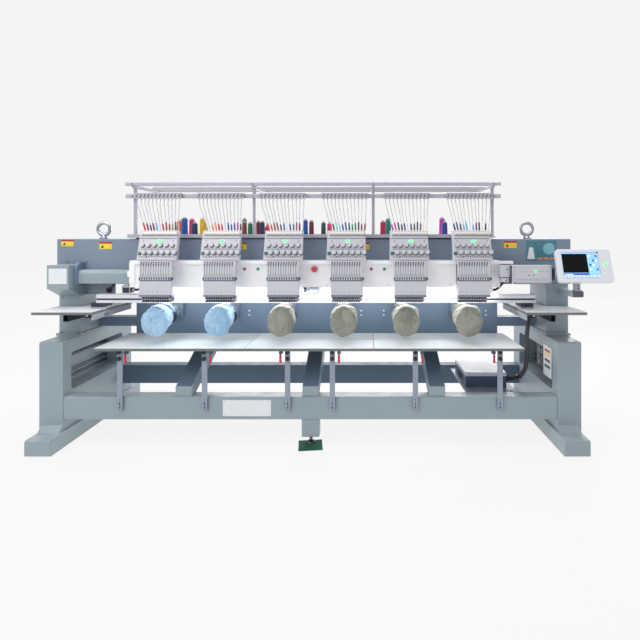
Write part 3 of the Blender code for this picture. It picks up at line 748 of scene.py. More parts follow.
def lifting_eye(piece, x):
    """A forged eye bolt: a round ring that thickens into its collar."""
    centre = Vector((x, -0.117, 1.372))
    ring = []
    radii = []
    steps = 48
    for step in range(steps):
        angle = 2.0 * math.pi * step / steps - math.pi / 2.0
        ring.append(centre + Vector((math.cos(angle), 0.0, math.sin(angle))) * 0.041)
        radii.append(0.0110 + 0.0022 * max(0.0, -math.sin(angle)) ** 2)
    piece.add(sweep(ring, 0.011, 14, radii, closed=True), STEEL)
    collar = [(0.0, 0.029), (0.006, 0.029), (0.009, 0.024), (0.016, 0.016), (0.026, 0.014), (0.026, 0.0)]
    piece.add(turned(collar, (x, -0.117, 1.303), (0, 0, 1), 24), STEEL)


def motor(piece, x, lead):
    """A small stepping motor hanging under the head rail."""
    y = -0.255
    piece.add(turned([(0.994, 0.024), (1.0105, 0.024)], (x, y, 0.0), (0, 0, 1), 24), SILVER)
    piece.add(prism(rounded((x - 0.031, x + 0.031), (y - 0.031, y + 0.031), 0.006), "Z", (0.984, 0.995),
        0.0015), SILVER)
    piece.add(prism(rounded((x - 0.030, x + 0.030), (y - 0.030, y + 0.030), 0.008), "Z", (0.955, 0.984),
        0.0015), NAVY)
    piece.add(prism(rounded((x - 0.029, x + 0.029), (y - 0.029, y + 0.029), 0.008), "Z", (0.9475, 0.956),
        0.002), BLACK)
    for corner in (-1, 1):
        piece.add(rod((x + corner * 0.024, y - 0.0300, 0.949), (0, 0, 1), 0.034, 0.003, 10), SILVER)
    piece.add(block((x + lead * 0.029, x + lead * 0.041), (y - 0.012, y + 0.008), (0.958, 0.976), 0.002),
        SHELL)
    route = [
        (x + lead * 0.040, y, 0.967),
        (x + lead * 0.060, y + 0.002, 0.966),
        (x + lead * 0.085, y + 0.010, 0.978),
        (x + lead * 0.110, y + 0.020, 1.000),
        (x + lead * 0.128, y + 0.036, 1.014),
    ]
    piece.add(sweep(smooth_route(route, 24), 0.0075, 10), BLACK)


def main_beam():
    """The upper beam, the head rail with its rounded top edge, the lifting eyes and the two motors."""
    piece = Piece()
    piece.add(block((-1.729, 1.729), (BEAM_FRONT, 0.100), (1.000, 1.303), 0.005, 3), BEAM)
    rail = [(-0.290, 1.010), (-0.205, 1.010), (-0.205, 1.100), (-0.262, 1.100), (-0.276, 1.096),
        (-0.286, 1.086), (-0.290, 1.072)]
    piece.add(prism(rail, "X", (-1.555, 1.222), 0.0015, 1), FRAME)
    for x in (-1.465, 1.465):
        lifting_eye(piece, x)
    motor(piece, -1.229, 1)
    motor(piece, 1.150, 1)
    for x in (-1.655, -1.530, 1.600):
        piece.screw((x, BEAM_FRONT, 1.152), (0, -1, 0), 0.008, BEAM)
    for side in (-1, 1):
        x = side * 1.729
        piece.add(block(flip(side, (1.7285, 1.7300)), (-0.195, 0.080), (1.020, 1.283), 0.0005), BEAM)
        for y in (-0.180, 0.065):
            for z in (1.035, 1.268):
                piece.screw((x + side * 0.001, y, z), (side, 0, 0), 0.006, STEEL, 0.002)
    piece.done("main_beam", "frame", ["main_beam"])


def upper_column(side):
    name = "upper_column_right" if side > 0 else "upper_column_left"
    piece = Piece()
    piece.add(cad_shape(name, 0.004, 3), FRAME)
    inner = side * 1.565
    for x in (1.585, 1.692):
        for y in (-0.226, 0.111):
            piece.add(turned([(0.0, 0.009), (0.007, 0.009), (0.007, 0.0)], (side * x, y, 0.671), (0, 0, 1),
                6), STEEL)
    bead = [(inner, -0.217, 0.673), (side * 1.640, -0.2175, 0.6735), (side * 1.712, -0.217, 0.673)]
    piece.add(weld_bead(bead, 0.004), FRAME)
    if side < 0:
        plate = prism(rounded((-1.698, -1.580), (1.012, 1.112), 0.004), "Y", (-0.3475, -0.345), 0.0006, 1)
        piece.add(plate, PLATE)
        flange = [(-0.300, 1.000), (BEAM_FRONT, 0.992), (BEAM_FRONT, 1.150), (-0.262, 1.150), (-0.296, 1.128),
            (-0.304, 1.100)]
        piece.add(prism(flange, "X", (-1.5700, -1.5420), 0.004, 2), WALL)
        gusset = [(-1.470, 0.926), (-1.366, 0.926), (-1.366, 0.999), (-1.425, 0.999)]
        piece.add(prism(gusset, "Y", (-0.166, -0.158), 0.001), FRAME)
        for x, z in ((-1.545, 0.950), (-1.545, 0.985)):
            piece.screw((x, -0.158, z), (0, -1, 0), 0.006, STEEL)
        for x in (-1.690, -1.585):
            piece.screw((x, BEAM_FRONT, 0.905), (0, -1, 0), 0.006, FRAME)
    else:
        for x in (1.652, 1.696):
            piece.screw((x, -0.440, 0.978), (0, 0, 1), 0.006, STEEL, 0.002)
        piece.add(prism(rounded((1.6405, 1.7075), (0.9405, 0.9775), 0.006), "Y", (-0.4525, -0.4495),
            0.0015), DARK_STEEL)
    piece.done(name, "frame", [name])


def arm_beam():
    piece = Piece()
    piece.add(cad_shape("arm_beam", 0.003, 2), WALL)
    for x in (-0.4835, 0.318, 0.479, 1.211):
        for z in (0.757, 0.788):
            piece.screw((x, -0.005, z), (0, -1, 0), 0.007, SHELL, 0.005)
    for x in (-0.800, 0.000, 0.800):
        piece.add(prism([(-0.4158, 0.3125), (-0.4158, 0.3735), (-0.3905, 0.3845), (-0.3885, 0.3855),
            (-0.3885, 0.3125)],
                        "X", (x - 0.0508, x + 0.0508), 0.001), FRAME)
        bead = [(x - 0.050, -0.4165, 0.3135), (x, -0.4170, 0.3140), (x + 0.050, -0.4165, 0.3135)]
        piece.add(weld_bead(bead), FRAME)
    piece.done("arm_beam", "frame", ["arm_beam"])


# Tables

def wing_table(side):
    name = "wing_table_right" if side > 0 else "wing_table_left"
    inner, outer = 1.340, 1.715
    notch = 1.557
    outline = [(inner, -0.485), (outer, -0.485), (outer, -0.223), (notch, -0.223), (notch, 0.025),
        (inner, 0.025)]
    outline = [(side * x, y) for x, y in outline]
    piece = Piece()
    piece.add(prism(outline, "Z", (0.835, 0.8515), 0.001, 1), EDGE)
    inside = [(inner + 0.0005, -0.4845), (outer - 0.0005, -0.4845), (outer - 0.0005, -0.2235),
        (notch - 0.0005, -0.2235),
              (notch - 0.0005, 0.0245), (inner + 0.0005, 0.0245)]
    piece.add(prism([(side * x, y) for x, y in inside], "Z", (0.8505, 0.8530), 0.0006, 1), WING)
    skirt = [(-0.470, 0.800), (0.015, 0.800), (0.015, 0.8355), (-0.470, 0.8355)]
    piece.add(prism(skirt, "X", flip(side, (inner, inner + 0.010)), 0.001), RACK)
    for y, width in ((-0.345, 0.060), (-0.190, 0.050)):
        piece.add(block(flip(side, (inner - 0.0006, inner + 0.001)), (y, y + width), (0.806, 0.830), 0.0),
            SILVER)
    tube_x = flip(side, (1.490, 1.523))
    tube = prism(rounded(tube_x, (0.792, 0.8352), 0.003, 3), "Y", (-0.475, 0.015), 0.001)
    hollow = prism(rounded((tube_x[0] + 0.003, tube_x[1] - 0.003), (0.795, 0.832), 0.002, 3), "Y",
        (-0.480, -0.440))
    piece.add(carve(tube, [hollow]), BLACK)
    piece.add(block(flip(side, (1.510, 1.5645)), (-0.150, -0.060), (0.800, 0.826), 0.002), FRAME)
    piece.add(block(flip(side, (1.395, 1.430)), (-0.410, -0.380), (0.803, 0.8352), 0.003, 2), BLACK)
    piece.add(turned([(0.0, 0.007), (0.007, 0.006), (0.009, 0.0)], (side * 1.412, -0.410, 0.818),
        (0, -1, 0), 6), SHELL)
    piece.add(block(flip(side, (1.36, 1.44)), (-0.330, -0.190), (0.8528, 0.8534), 0.0), NAVY)
    piece.done(name, "frame", [name])


def strap_mesh(x, bevel=0.0006):
    """A slotted flat strap that hangs from the table's front edge."""
    y = (-0.442, -0.434)
    strap = prism(rounded((x - 0.0165, x + 0.0165), (0.232, 0.6135), 0.003, 3), "Y", y)
    through = (y[0] - 0.01, y[1] + 0.01)
    cutters = []
    for z in (0.461, 0.430, 0.299, 0.249):
        cutters.append(prism([(x + 0.0035 * math.cos(a),
            z + 0.0035 * math.sin(a)) for a in np.arange(12) * math.pi / 6.0],
                             "Y", through))
    cutters.append(prism(rounded((x - 0.0035, x + 0.0035), (0.261, 0.284), 0.0033, 3), "Y", through))
    return soften(carve(strap, cutters), bevel, 1)


def table_board(name, straps):
    low, high = cad_box(name)
    seam_left, seam_right = low.x, high.x
    piece = Piece()
    board_y = (-0.490, -0.020)
    piece.add(block((seam_left, seam_right), board_y, (0.613, 0.6300), 0.0008), EDGE)
    piece.add(block((seam_left + 0.0011, seam_right - 0.0011), (-0.4896, -0.0204), (0.6290, 0.6310),
        0.0006), BOARD)
    for x in straps:
        piece.add(strap_mesh(x), STRAP)
        piece.add(block((x - 0.0165, x + 0.0165), (-0.440, -0.395), (0.6085, 0.6132), 0.0006), STRAP)
        for z in (0.596, 0.556):
            knob = [(0.0, 0.009), (0.004, 0.009), (0.005, 0.0125), (0.014, 0.0125), (0.017, 0.0095),
                (0.0175, 0.0)]
            piece.add(turned(knob, (x - 0.001, -0.442, z), (0, -1, 0), 14), BLACK)
        piece.screw((x, -0.442, 0.249), (0, -1, 0), 0.0055, DARK_STEEL, 0.004)
    piece.done(name, "lower_table", [name])


def lock_lever(number, x):
    name = f"lock_lever_{number}"
    piece = Piece()
    piece.add(rod((x, -0.466, 0.598), (0, 1, 0), 0.016, 0.009, 18), DARK_STEEL)
    arm = [(x - 0.0045, 0.566), (x + 0.0045, 0.566), (x + 0.006, 0.598), (x - 0.006, 0.598)]
    piece.add(prism(arm, "Y", (-0.4625, -0.4535), 0.0012), DARK_STEEL)
    grip = [(0.0, 0.004), (0.003, 0.0072), (0.012, 0.0080), (0.026, 0.0068), (0.043, 0.0075),
        (0.050, 0.0060), (0.051, 0.0)]
    piece.add(turned(grip, (x, -0.458, 0.531), (0, 0, 1), 18), RED)
    piece.done(name, name, [name])


def lever_mount(number, x):
    """The block under the table's edge in which a lever turns."""
    piece = Piece()
    piece.add(block((x - 0.011, x + 0.011), (-0.4495, -0.425), (0.586, 0.6128), 0.0015), DARK_STEEL)
    piece.done(f"lever_mount_{number}", "lower_table")


# Heads

BASE_LOW = Vector((0.0, -0.415, 1.180))
BASE_UP = Vector((0.0, 0.050, 0.178)).normalized()
BASE_OUT = Vector((0.0, -0.178, 0.050)).normalized()


def thread_x(step):
    """Where a thread meets the top of its tension base, from the case's middle."""
    return 0.0040 + (step - 5.5) * 0.0196


def on_face(x, up, out=0.0):
    """A point on the leaning face of the tension base: across, up the face and off it."""
    return BASE_LOW + Vector((x, 0.0, 0.0)) + BASE_UP * up + BASE_OUT * out


def face_frame():
    """A matrix that takes a shape drawn in X across, Z up the face and -Y off it onto the leaning face."""
    return Matrix.Translation(BASE_LOW) @ Matrix((
        (1.0, 0.0, 0.0, 0.0),
        (0.0, -BASE_OUT.y, BASE_UP.y, 0.0),
        (0.0, -BASE_OUT.z, BASE_UP.z, 0.0),
        (0.0, 0.0, 0.0, 1.0),
    ))


def tension_knob(piece, x, up, size, reach):
    """A tension post: a dark disc set off to the lower right as its painted shadow, steel discs and its white
    thumb nut.
    """
    base = on_face(x, up)
    # Painted shadow: a dark disc set off right and down behind the post.
    shaded = on_face(x + 0.0024, up - 0.0026)
    out = BASE_OUT
    piece.add(turned([(0.0, size), (0.0012, size), (0.0012, 0.0)], shaded, out, 24), INK_AND_SHADE)
    disc = [(0.0010, size * 0.70), (0.0022, size * 0.96), (0.0032, size * 0.96), (0.0046, size * 0.6),
        (0.0046, 0.0)]
    piece.add(turned(disc, base, out, 24), STEEL)
    face = size * 0.86
    nut = [(0.0040, face * 0.80), (0.0060, face), (reach - 0.0030, face), (reach, face * 0.84),
        (reach, face * 0.40),
           (reach - 0.0012, face * 0.34), (reach - 0.0012, 0.0)]
    piece.add(turned(nut, base, out, 24), WHITE)
    for step in range(14):
        angle = math.pi * step / 7.0
        spot = base + out * 0.0065
        spot += Vector((math.cos(angle), 0, 0)) * face * 0.985 + BASE_UP * math.sin(angle) * face * 0.985
        piece.add(sweep([spot, spot + out * (reach - 0.0105)], 0.0008, 5), BAND)


def pigtail(x):
    """The wire thread guide at the top of a tension base."""
    across_up_out = [
        (-0.0070, 0.1475, 0.002), (-0.0058, 0.1490, 0.0080), (-0.0015, 0.1510, 0.0105),
            (0.0032, 0.1545, 0.0100),
        (0.0060, 0.1560, 0.0070), (0.0052, 0.1520, 0.0050), (0.0068, 0.1480, 0.0020),
    ]
    return sweep(smooth_route([on_face(x + a, u, o) for a, u, o in across_up_out], 16), 0.0017, 6)


def tension_base(piece):
    """The leaning sheet-metal box with its thread guides, two rows of knobs, switch and lit window."""
    outline = [(-0.415, 1.166), (-0.380, 1.166), (-0.3225, 1.345), (-0.328, 1.3575), (-0.365, 1.3575),
        (-0.415, 1.180)]
    base = prism(outline, "X", (-BASE_HALF, BASE_HALF), 0.004, 3)
    for vertex in base.verts:
        vertex.co.x = vertex.co.x * (1.0 - 0.035 * (vertex.co.z - 1.166) / 0.19) + BASE_MIDDLE
    piece.add(base, WHITE)
    frame_of_face = face_frame()

    def plate(x, up, out, material, bevel=0.0008, segments=1):
        piece.add(block(x, (-out[1], -out[0]), up, bevel, segments), material, frame_of_face)

    plate((-0.1220, 0.1120), (0.1330, 0.1830), (0.0, 0.0030), WHITE, 0.0026, 2)
    plate((-0.1200, 0.1100), (0.1300, 0.1322), (-0.001, 0.0010), GROOVE, 0.0)
    plate((-0.1140, 0.1080), (0.1630, 0.1725), (0.0025, 0.0042), CREAM, 0.0006)
    plate((-0.1100, 0.1140), (0.0610, 0.0640), (0.0, 0.0024), BAND, 0.0008)
    plate((-0.1240, -0.1020), (0.0225, 0.0440), (0.0, 0.0030), GROOVE, 0.0012)
    plate((-0.1220, -0.1040), (0.0240, 0.0425), (0.002, 0.0075), SWITCH, 0.002, 2)
    plate((-0.1180, -0.1080), (0.0250, 0.0330), (0.007, 0.0085), GREEN, 0.001)
    for step in range(6):
        tension_knob(piece, -0.1003 + 0.0378 * step, 0.0873, 0.0150, 0.0135)
        tension_knob(piece, -0.0823 + 0.0381 * step, 0.0395, 0.0170, 0.0240)
    for step in range(NEEDLES):
        x = thread_x(step)
        piece.add(pigtail(x), BLACK)
        piece.add(turned([(0.0, 0.0036), (0.004, 0.0030), (0.004, 0.0)],
            on_face(x - 0.0070, 0.1475, 0.0020), BASE_OUT, 8), BAND)
    for x, up in ((-0.098, 0.116), (0.092, 0.116), (-0.066, 0.010), (0.060, 0.010), (0.106, 0.140),
        (-0.116, 0.140)):
        piece.screw(on_face(x, up), BASE_OUT, 0.0033, DARK_STEEL, 0.002)
    window = rounded((-0.0080, 0.0200), (0.1020, 0.1230), 0.007, 4)
    piece.add(prism(window, "Y", (-0.0034, 0.0), 0.001), GREEN_HALO, frame_of_face)
    window = rounded((-0.0040, 0.0160), (0.1060, 0.1190), 0.005, 4)
    piece.add(prism(window, "Y", (-0.0066, -0.001), 0.002, 2), GREEN_GLOW, frame_of_face)
    # Painted shade of a shallow curved groove: a thin dark line along the face.
    arch = []
    for step in range(49):
        along = step / 48.0
        lift = 0.0105 + 0.0022 * math.sin(12.0 * math.pi * along) + 0.0022 * math.sin(math.pi * along)
        arch.append(on_face(-0.110 + 0.224 * along, lift, 0.0004))
    piece.add(sweep(arch, 0.0013, 6), INK_AND_SHADE)


def take_up_plate(piece):
    """The slotted front plate with the twelve take-up levers behind its slots."""
    slots = []
    marks = []
    for step in range(NEEDLES):
        x = SLOT_MIDDLE + (step - 5.5) * SLOT_PITCH
        upper = [(x - 0.0015, 1.1310), (x + 0.0035, 1.1330), (x + 0.0080, 1.1610), (x + 0.0012, 1.1610)]
        slots.append(prism(upper, "Y", (-0.440, -0.422)))
        slots.append(prism(rounded((x - 0.0011, x + 0.0011), (1.0810, 1.1350), 0.0009, 2), "Y",
            (-0.440, -0.422)))
        marks.append(x)
    sheet = block((-CASE_HALF, CASE_HALF), (CASE_FRONT, -0.4160), (0.950, 1.166), 0.002, 2)
    piece.add(carve(sheet, slots), WHITE)
    # Painted shade: a dark sheet at the floor of the slots.
    piece.add(block((-0.0980, 0.0920), (-0.4226, -0.4205), (1.0795, 1.1625), 0.0), INK_AND_SHADE)
    piece.add(block((-0.066, 0.066), (-0.4165, -0.3525), (0.950, 1.166), 0.002, 2), WHITE)
    for x in marks:
        lever = [
            (x + 0.0052, CASE_FRONT + 0.005, 1.159), (x + 0.0040, CASE_FRONT - 0.0005, 1.151),
            (x + 0.0022, CASE_FRONT - 0.0030, 1.143), (x + 0.0006, CASE_FRONT + 0.002, 1.134),
        ]
        piece.add(sweep(smooth_route(lever, 10), 0.0019, 6), DARK_STEEL)
        piece.add(block((x - 0.0042, x - 0.0018), (CASE_FRONT - 0.0022, CASE_FRONT + 0.0006),
            (1.084, 1.129), 0.0003), SHELL)
        piece.add(turned([(0.0, 0.0032), (0.0010, 0.0028), (0.0010, 0.0)], (x, CASE_FRONT, 1.0775),
            (0, -1, 0), 10), INK_AND_SHADE)
    piece.add(block((0.0895, 0.0985), (CASE_FRONT - 0.0018, CASE_FRONT + 0.0005), (1.074, 1.160), 0.0008),
        WHITE)


def needle_row(piece):
    """The clamps, needle bars, presser feet and needles under a case."""
    piece.add(block((-0.098, 0.095), (-0.375, -0.362), (0.905, 0.952), 0.001), WHITE)
    for step in range(NEEDLES):
        x = NEEDLE_MIDDLE + (step - 5.5) * NEEDLE_PITCH
        piece.add(rod((x, -0.390, 0.912), (0, 0, 1), 0.042, 0.0032, 10), STEEL)
        piece.add(block((x - 0.0056, x + 0.0056), (-0.4145, -0.3810), (0.9255, 0.9385), 0.001), BLACK)
        piece.screw((x + 0.0010, -0.4145, 0.9325), (0, -1, 0), 0.0030, SHELL, 0.003)
        piece.add(block((x - 0.0045, x + 0.0020), (-0.4110, -0.3840), (0.9170, 0.9250), 0.0006), SHELL)
        foot = [(x - 0.0060, 0.9055), (x + 0.0060, 0.9055), (x + 0.0045, 0.9160), (x - 0.0045, 0.9160)]
        piece.add(prism(foot, "Y", (-0.4120, -0.3830), 0.0008), BLACK)
        needle = [(0.0, 0.0), (0.004, 0.0006), (0.016, 0.0008), (0.020, 0.0011), (0.020, 0.0)]
        piece.add(turned(needle, (x, -0.390, 0.888), (0, 0, 1), 8), STEEL)


def head_case():
    """One needle case, drawn about X 0: it is copied to the six heads."""
    piece = Piece()
    tension_base(piece)
    take_up_plate(piece)
    half = CASE_HALF - 0.001
    piece.add(block((-half, half), (CASE_FRONT - 0.005, CASE_FRONT + 0.002), (1.0415, 1.0665), 0.0012),
        BAND)
    piece.add(block((-half + 0.002, half - 0.002), (CASE_FRONT - 0.0058, CASE_FRONT - 0.0045),
        (1.0430, 1.0455), 0.0), GROOVE)
    for step in range(NEEDLES):
        x = NEEDLE_MIDDLE + (step - 5.5) * NEEDLE_PITCH
        piece.add(rod((x, CASE_FRONT - 0.0062, 1.0455), (0, 0, 1), 0.0190, 0.0026, 8), SHELL)
        piece.add(block((x + 0.0044, x + 0.0104), (CASE_FRONT - 0.0060, CASE_FRONT - 0.0045),
            (1.0520, 1.0630), 0.0), GROOVE)
    piece.add(block((half - 0.003, half + 0.007), (CASE_FRONT - 0.008, CASE_FRONT + 0.004),
        (1.0470, 1.0620), 0.001), NAVY)
    piece.add(block((-half - 0.003, -half + 0.003), (CASE_FRONT - 0.007, CASE_FRONT + 0.004),
        (1.0440, 1.0640), 0.001), NAVY)
    piece.add(block((-half, half), (CASE_FRONT - 0.008, CASE_FRONT + 0.001), (0.9525, 1.0385), 0.003, 2),
        WHITE)
    piece.add(block((-half + 0.001, half - 0.001), (CASE_FRONT - 0.0086, CASE_FRONT - 0.0075),
        (0.9540, 0.9700), 0.0005), WHITE)
    for step in range(6):
        x = -0.0790 + 0.0306 * step
        piece.add(rod((x, CASE_FRONT - 0.0086, 0.9720), (0, 1, 0), 0.003, 0.0040, 14), GROOVE)
        piece.add(rod((x, CASE_FRONT - 0.0092, 0.9715), (0, 1, 0), 0.003, 0.0024, 12), SHELL)
    piece.add(block((-half - 0.003, half), (CASE_FRONT - 0.0065, -0.3600), (0.9395, 0.9522), 0.0015), BAND)
    piece.screw((half - 0.006, CASE_FRONT - 0.0065, 0.9460), (0, -1, 0), 0.0042, NAVY, 0.003)
    needle_row(piece)
    return piece.mesh("head_case")


def cap_section(y):
    """Where a cap's cloth stands at one depth: sideways and upwards offset, half width and half height."""
    depths = [row[0] for row in CAP_SECTIONS]
    return [float(np.interp(-y, [-depth for depth in depths],
        [row[column] for row in CAP_SECTIONS])) for column in range(1, 5)]


def cap_point(x, y, angle, share=1.0):
    """A point of the cloth: at a depth, round the axis, and how far out from the section's middle."""
    across, up, wide, high = cap_section(y)
    bulge = 0.0
    if share > 0.99:
        near = math.exp(-(((y + 0.343) / 0.016) ** 2))
        bulge = 0.011 * near * math.exp(-(((angle - math.radians(47.0)) / 0.42) ** 2))
    loose = min(1.0, max(0.0, (-y - 0.270) / 0.090))
    fold = 0.0013 * math.sin(7.0 * angle + 46.0 * y) + 0.0008 * math.sin(13.0 * angle - 95.0 * y)
    radius = share * (1.0 + (bulge + loose * fold) / 0.088)
    y += 0.0070 * share * (1.0 - share) * math.sin(5.0 * angle + 9.0 * share)
    return Vector((x + across + wide * radius * math.cos(angle), y,
        CAP_AXIS_Z + up + high * radius * math.sin(angle)))


def head_cases():
    master = head_case()
    for number in range(1, HEADS + 1):
        mesh = master.copy()
        mesh.name = f"needle_case_{number}"
        settle(f"needle_case_{number}", mesh, "needle_cases", [f"needle_case_{number}"],
            head_x(number) + CASE_SHIFT)
    bpy.data.meshes.remove(master)


def head_arm(number):
    """The upper casting with its cover screws, seen past the case's side."""
    name = f"head_arm_{number}"
    piece = Piece()
    piece.add(cad_shape(name, 0.002, 2), WHITE)
    x = head_x(number)
    for side in (-1, 1):
        for y, z in ((PANEL_FRONT, 1.140), (PANEL_FRONT, 1.020), (-0.228, 1.140)):
            piece.screw((x + side * 0.060, y, z), (side, 0, 0), 0.004, STEEL, 0.002)
    piece.done(name, "frame", [name])


def cylinder_arm(number):
    """The lower arm: a tube with its needle plate, the hook cover and a bolted flange."""
    name = f"cylinder_arm_{number}"
    low = cad_box(name)[0]
    x = head_x(number)
    z = CAP_AXIS_Z
    piece = Piece()
    tube = [(0.0, 0.0), (0.0, 0.041), (0.004, 0.045), (0.070, 0.045), (0.071, 0.0435), (0.073, 0.0435),
        (0.074, 0.045),
            (0.325, 0.045)]
    piece.add(turned(tube, (x, low.y, z), (0, 1, 0), 40), SILVER)
    flange = prism(rounded((x - 0.052, x + 0.052), (0.745, 0.847), 0.010), "Y", (-0.0353, -0.0053), 0.003,
        2)
    piece.add(flange, WALL)
    piece.add(block((x - 0.016, x + 0.016), (-0.354, -0.310), (0.8395, 0.8425), 0.001), STEEL)
    piece.done(name, "frame", [name])


# Caps

def cap_cloth(number):
    """The cap's cloth as one grid: back ring, side, rounded edge and crown."""
    x = head_x(number)
    around, along, rings = 96, 26, 14
    back, front = CAP_SECTIONS[0][0], CAP_SECTIONS[-1][0]
    angles = [2.0 * math.pi * step / around for step in range(around)]
    wrapped = [angle if angle <= math.pi else angle - 2.0 * math.pi for angle in angles]
    part = bmesh.new()
    rows = []
    for row in range(along + 1):
        y = back + (front - back) * row / along
        rows.append([cap_point(x, y, angle) for angle in wrapped])
    for row in range(1, rings):
        share = math.cos(row / rings * math.pi / 2.0) ** 0.55
        bulge = Vector((0.0, -0.0085 * (1.0 - share**6), 0.0))
        rows.append([cap_point(x, front, angle, share * 0.985) + bulge for angle in wrapped])
    verts = [[part.verts.new(point) for point in row] for row in rows]
    centre = part.verts.new(cap_point(x, front, 0.0, 0.0) + Vector((0.0, -0.0085, 0.0)))
    for lower, upper in zip(verts, verts[1:]):
        for step in range(around):
            after = (step + 1) % around
            part.faces.new((lower[step], lower[after], upper[after], upper[step]))
    for step in range(around):
        part.faces.new((verts[-1][step], verts[-1][(step + 1) % around], centre))
    return close(part)


def drape_cap(obj):
    """Lets the cloth settle between its back ring and its crown, then keeps each point near its start."""
    mesh = obj.data
    start = np.array([v.co for v in mesh.vertices])
    group = obj.vertex_groups.new(name="pins")
    front, back = start[:, 1].min(), start[:, 1].max()
    for index, (_, y, _) in enumerate(start):
        near_back = max(0.0, 1.0 - (back - y) / 0.020)
        near_front = 0.55 if y < front + 0.012 else 0.0
        group.add([index], min(1.0, max(near_back, near_front)), "REPLACE")
    modifier = obj.modifiers.new("cloth", "CLOTH")
    settings = modifier.settings
    settings.quality = 5
    settings.mass = 0.15
    settings.tension_stiffness = 18.0
    settings.compression_stiffness = 18.0
    settings.bending_stiffness = 0.25
    settings.vertex_group_mass = "pins"
    settings.pin_stiffness = 0.6
    settings.shrink_min = -0.055
    settings.use_pressure = True
    settings.uniform_pressure_force = 0.35
    settings.effector_weights.gravity = 0.5
    modifier.collision_settings.use_collision = False
    modifier.point_cache.frame_start = 1
    modifier.point_cache.frame_end = 20
    for step in range(1, 21):
        bpy.context.scene.frame_set(step)
    graph = bpy.context.evaluated_depsgraph_get()
    moved = bpy.data.meshes.new_from_object(obj.evaluated_get(graph))
    end = np.array([v.co for v in moved.vertices])
    obj.modifiers.clear()
    obj.vertex_groups.clear()
    bpy.data.meshes.remove(moved)
    bpy.context.scene.frame_set(1)
    shift = end - start
    length = np.linalg.norm(shift, axis=1, keepdims=True)
    shift *= np.minimum(1.0, MOST_DRAPE / np.maximum(length, 1e-9))
    mesh.vertices.foreach_set("co", (start + shift).astype(np.float32).ravel())
    mesh.update()


def fold_cap(number, mesh, x):
    """Presses the seams and a few folds into a cap's cloth, and keeps it clear of the hoop beam."""
    rng = np.random.default_rng(40 + number)
    folds = []
    for _ in range(11):
        where, wide = rng.uniform(-math.pi, math.pi), rng.uniform(0.07, 0.24)
        folds.append((where, wide, rng.uniform(-0.5, 0.5), rng.uniform(-0.0022, 0.0030)))
    front = CAP_SECTIONS[-1][0]
    crown_up = CAP_SECTIONS[-1][2]
    for vertex in mesh.vertices:
        y = vertex.co.y
        dx, dz = vertex.co.x - x, vertex.co.z - CAP_AXIS_Z
        radius = math.hypot(dx, dz)
        if radius < 1e-5:
            continue
        angle = math.atan2(dz, dx)
        depth = (y - front) / 0.20
        if y > front + 0.0005:
            out = Vector((dx / radius, 0.0, dz / radius))
            push = 0.0
            for where, wide, lean, high in folds:
                off = (angle - where - lean * depth + math.pi) % (2.0 * math.pi) - math.pi
                push += high * math.exp(-((off / wide) ** 2)) * math.sin(math.pi * min(1.0,
                    max(0.0, depth * 1.1)))
            vertex.co += out * push
            limit = np.interp(y, (-0.330, -0.322, -0.250, -0.244), (0.200, 0.0885, 0.0850, 0.0770))
            reach = math.hypot(vertex.co.x - x, vertex.co.z - CAP_AXIS_Z)
            if reach > limit:
                vertex.co.x = x + (vertex.co.x - x) * limit / reach
                vertex.co.z = CAP_AXIS_Z + (vertex.co.z - CAP_AXIS_Z) * limit / reach
            continue
        crown = math.hypot(dx, dz - crown_up)
        spin = math.atan2(dz - crown_up, dx)
        seam = abs((spin * 3.0 / math.pi + 0.5) % 1.0 - 0.5)
        vertex.co.y += 0.0018 * math.exp(-((seam / 0.045) ** 2)) * min(1.0, crown / 0.015)
        ripple = math.sin(5.0 * spin + 1.7 * number + 38.0 * crown) * math.sin(9.0 * spin + number)
        vertex.co.y += 0.0020 * ripple * (crown / 0.085) ** 2


def cap(number):
    """The cap: draped and folded cloth, its rolled rim, button, driver ring and clamp."""
    name = f"cap_{number}"
    x = head_x(number)
    fabric = BLUE_CLOTH if number <= 2 else KHAKI_CLOTH
    part = cap_cloth(number)
    part.transform(Matrix.Translation((CENTRE, 0.0, 0.0)))
    mesh = bpy.data.meshes.new(name)
    part.to_mesh(mesh)
    part.free()
    mesh.materials.append(fabric)
    obj = bpy.data.objects.new(name, mesh)
    bpy.context.scene.collection.objects.link(obj)
    drape_cap(obj)
    fold_cap(number, mesh, x + CENTRE)
    mesh.shade_smooth()
    thick = obj.modifiers.new("thick", "SOLIDIFY")
    thick.thickness = 0.0012
    thick.offset = -1.0
    rounder = obj.modifiers.new("smooth", "SUBSURF")
    rounder.levels = 1
    rounder.render_levels = 1
    graph = bpy.context.evaluated_depsgraph_get()
    final = bpy.data.meshes.new_from_object(obj.evaluated_get(graph))
    obj.modifiers.clear()
    obj.data = final
    bpy.data.meshes.remove(mesh)
    final.name = name
    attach(obj, name)
    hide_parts(name)
    cap_fittings(number, fabric)


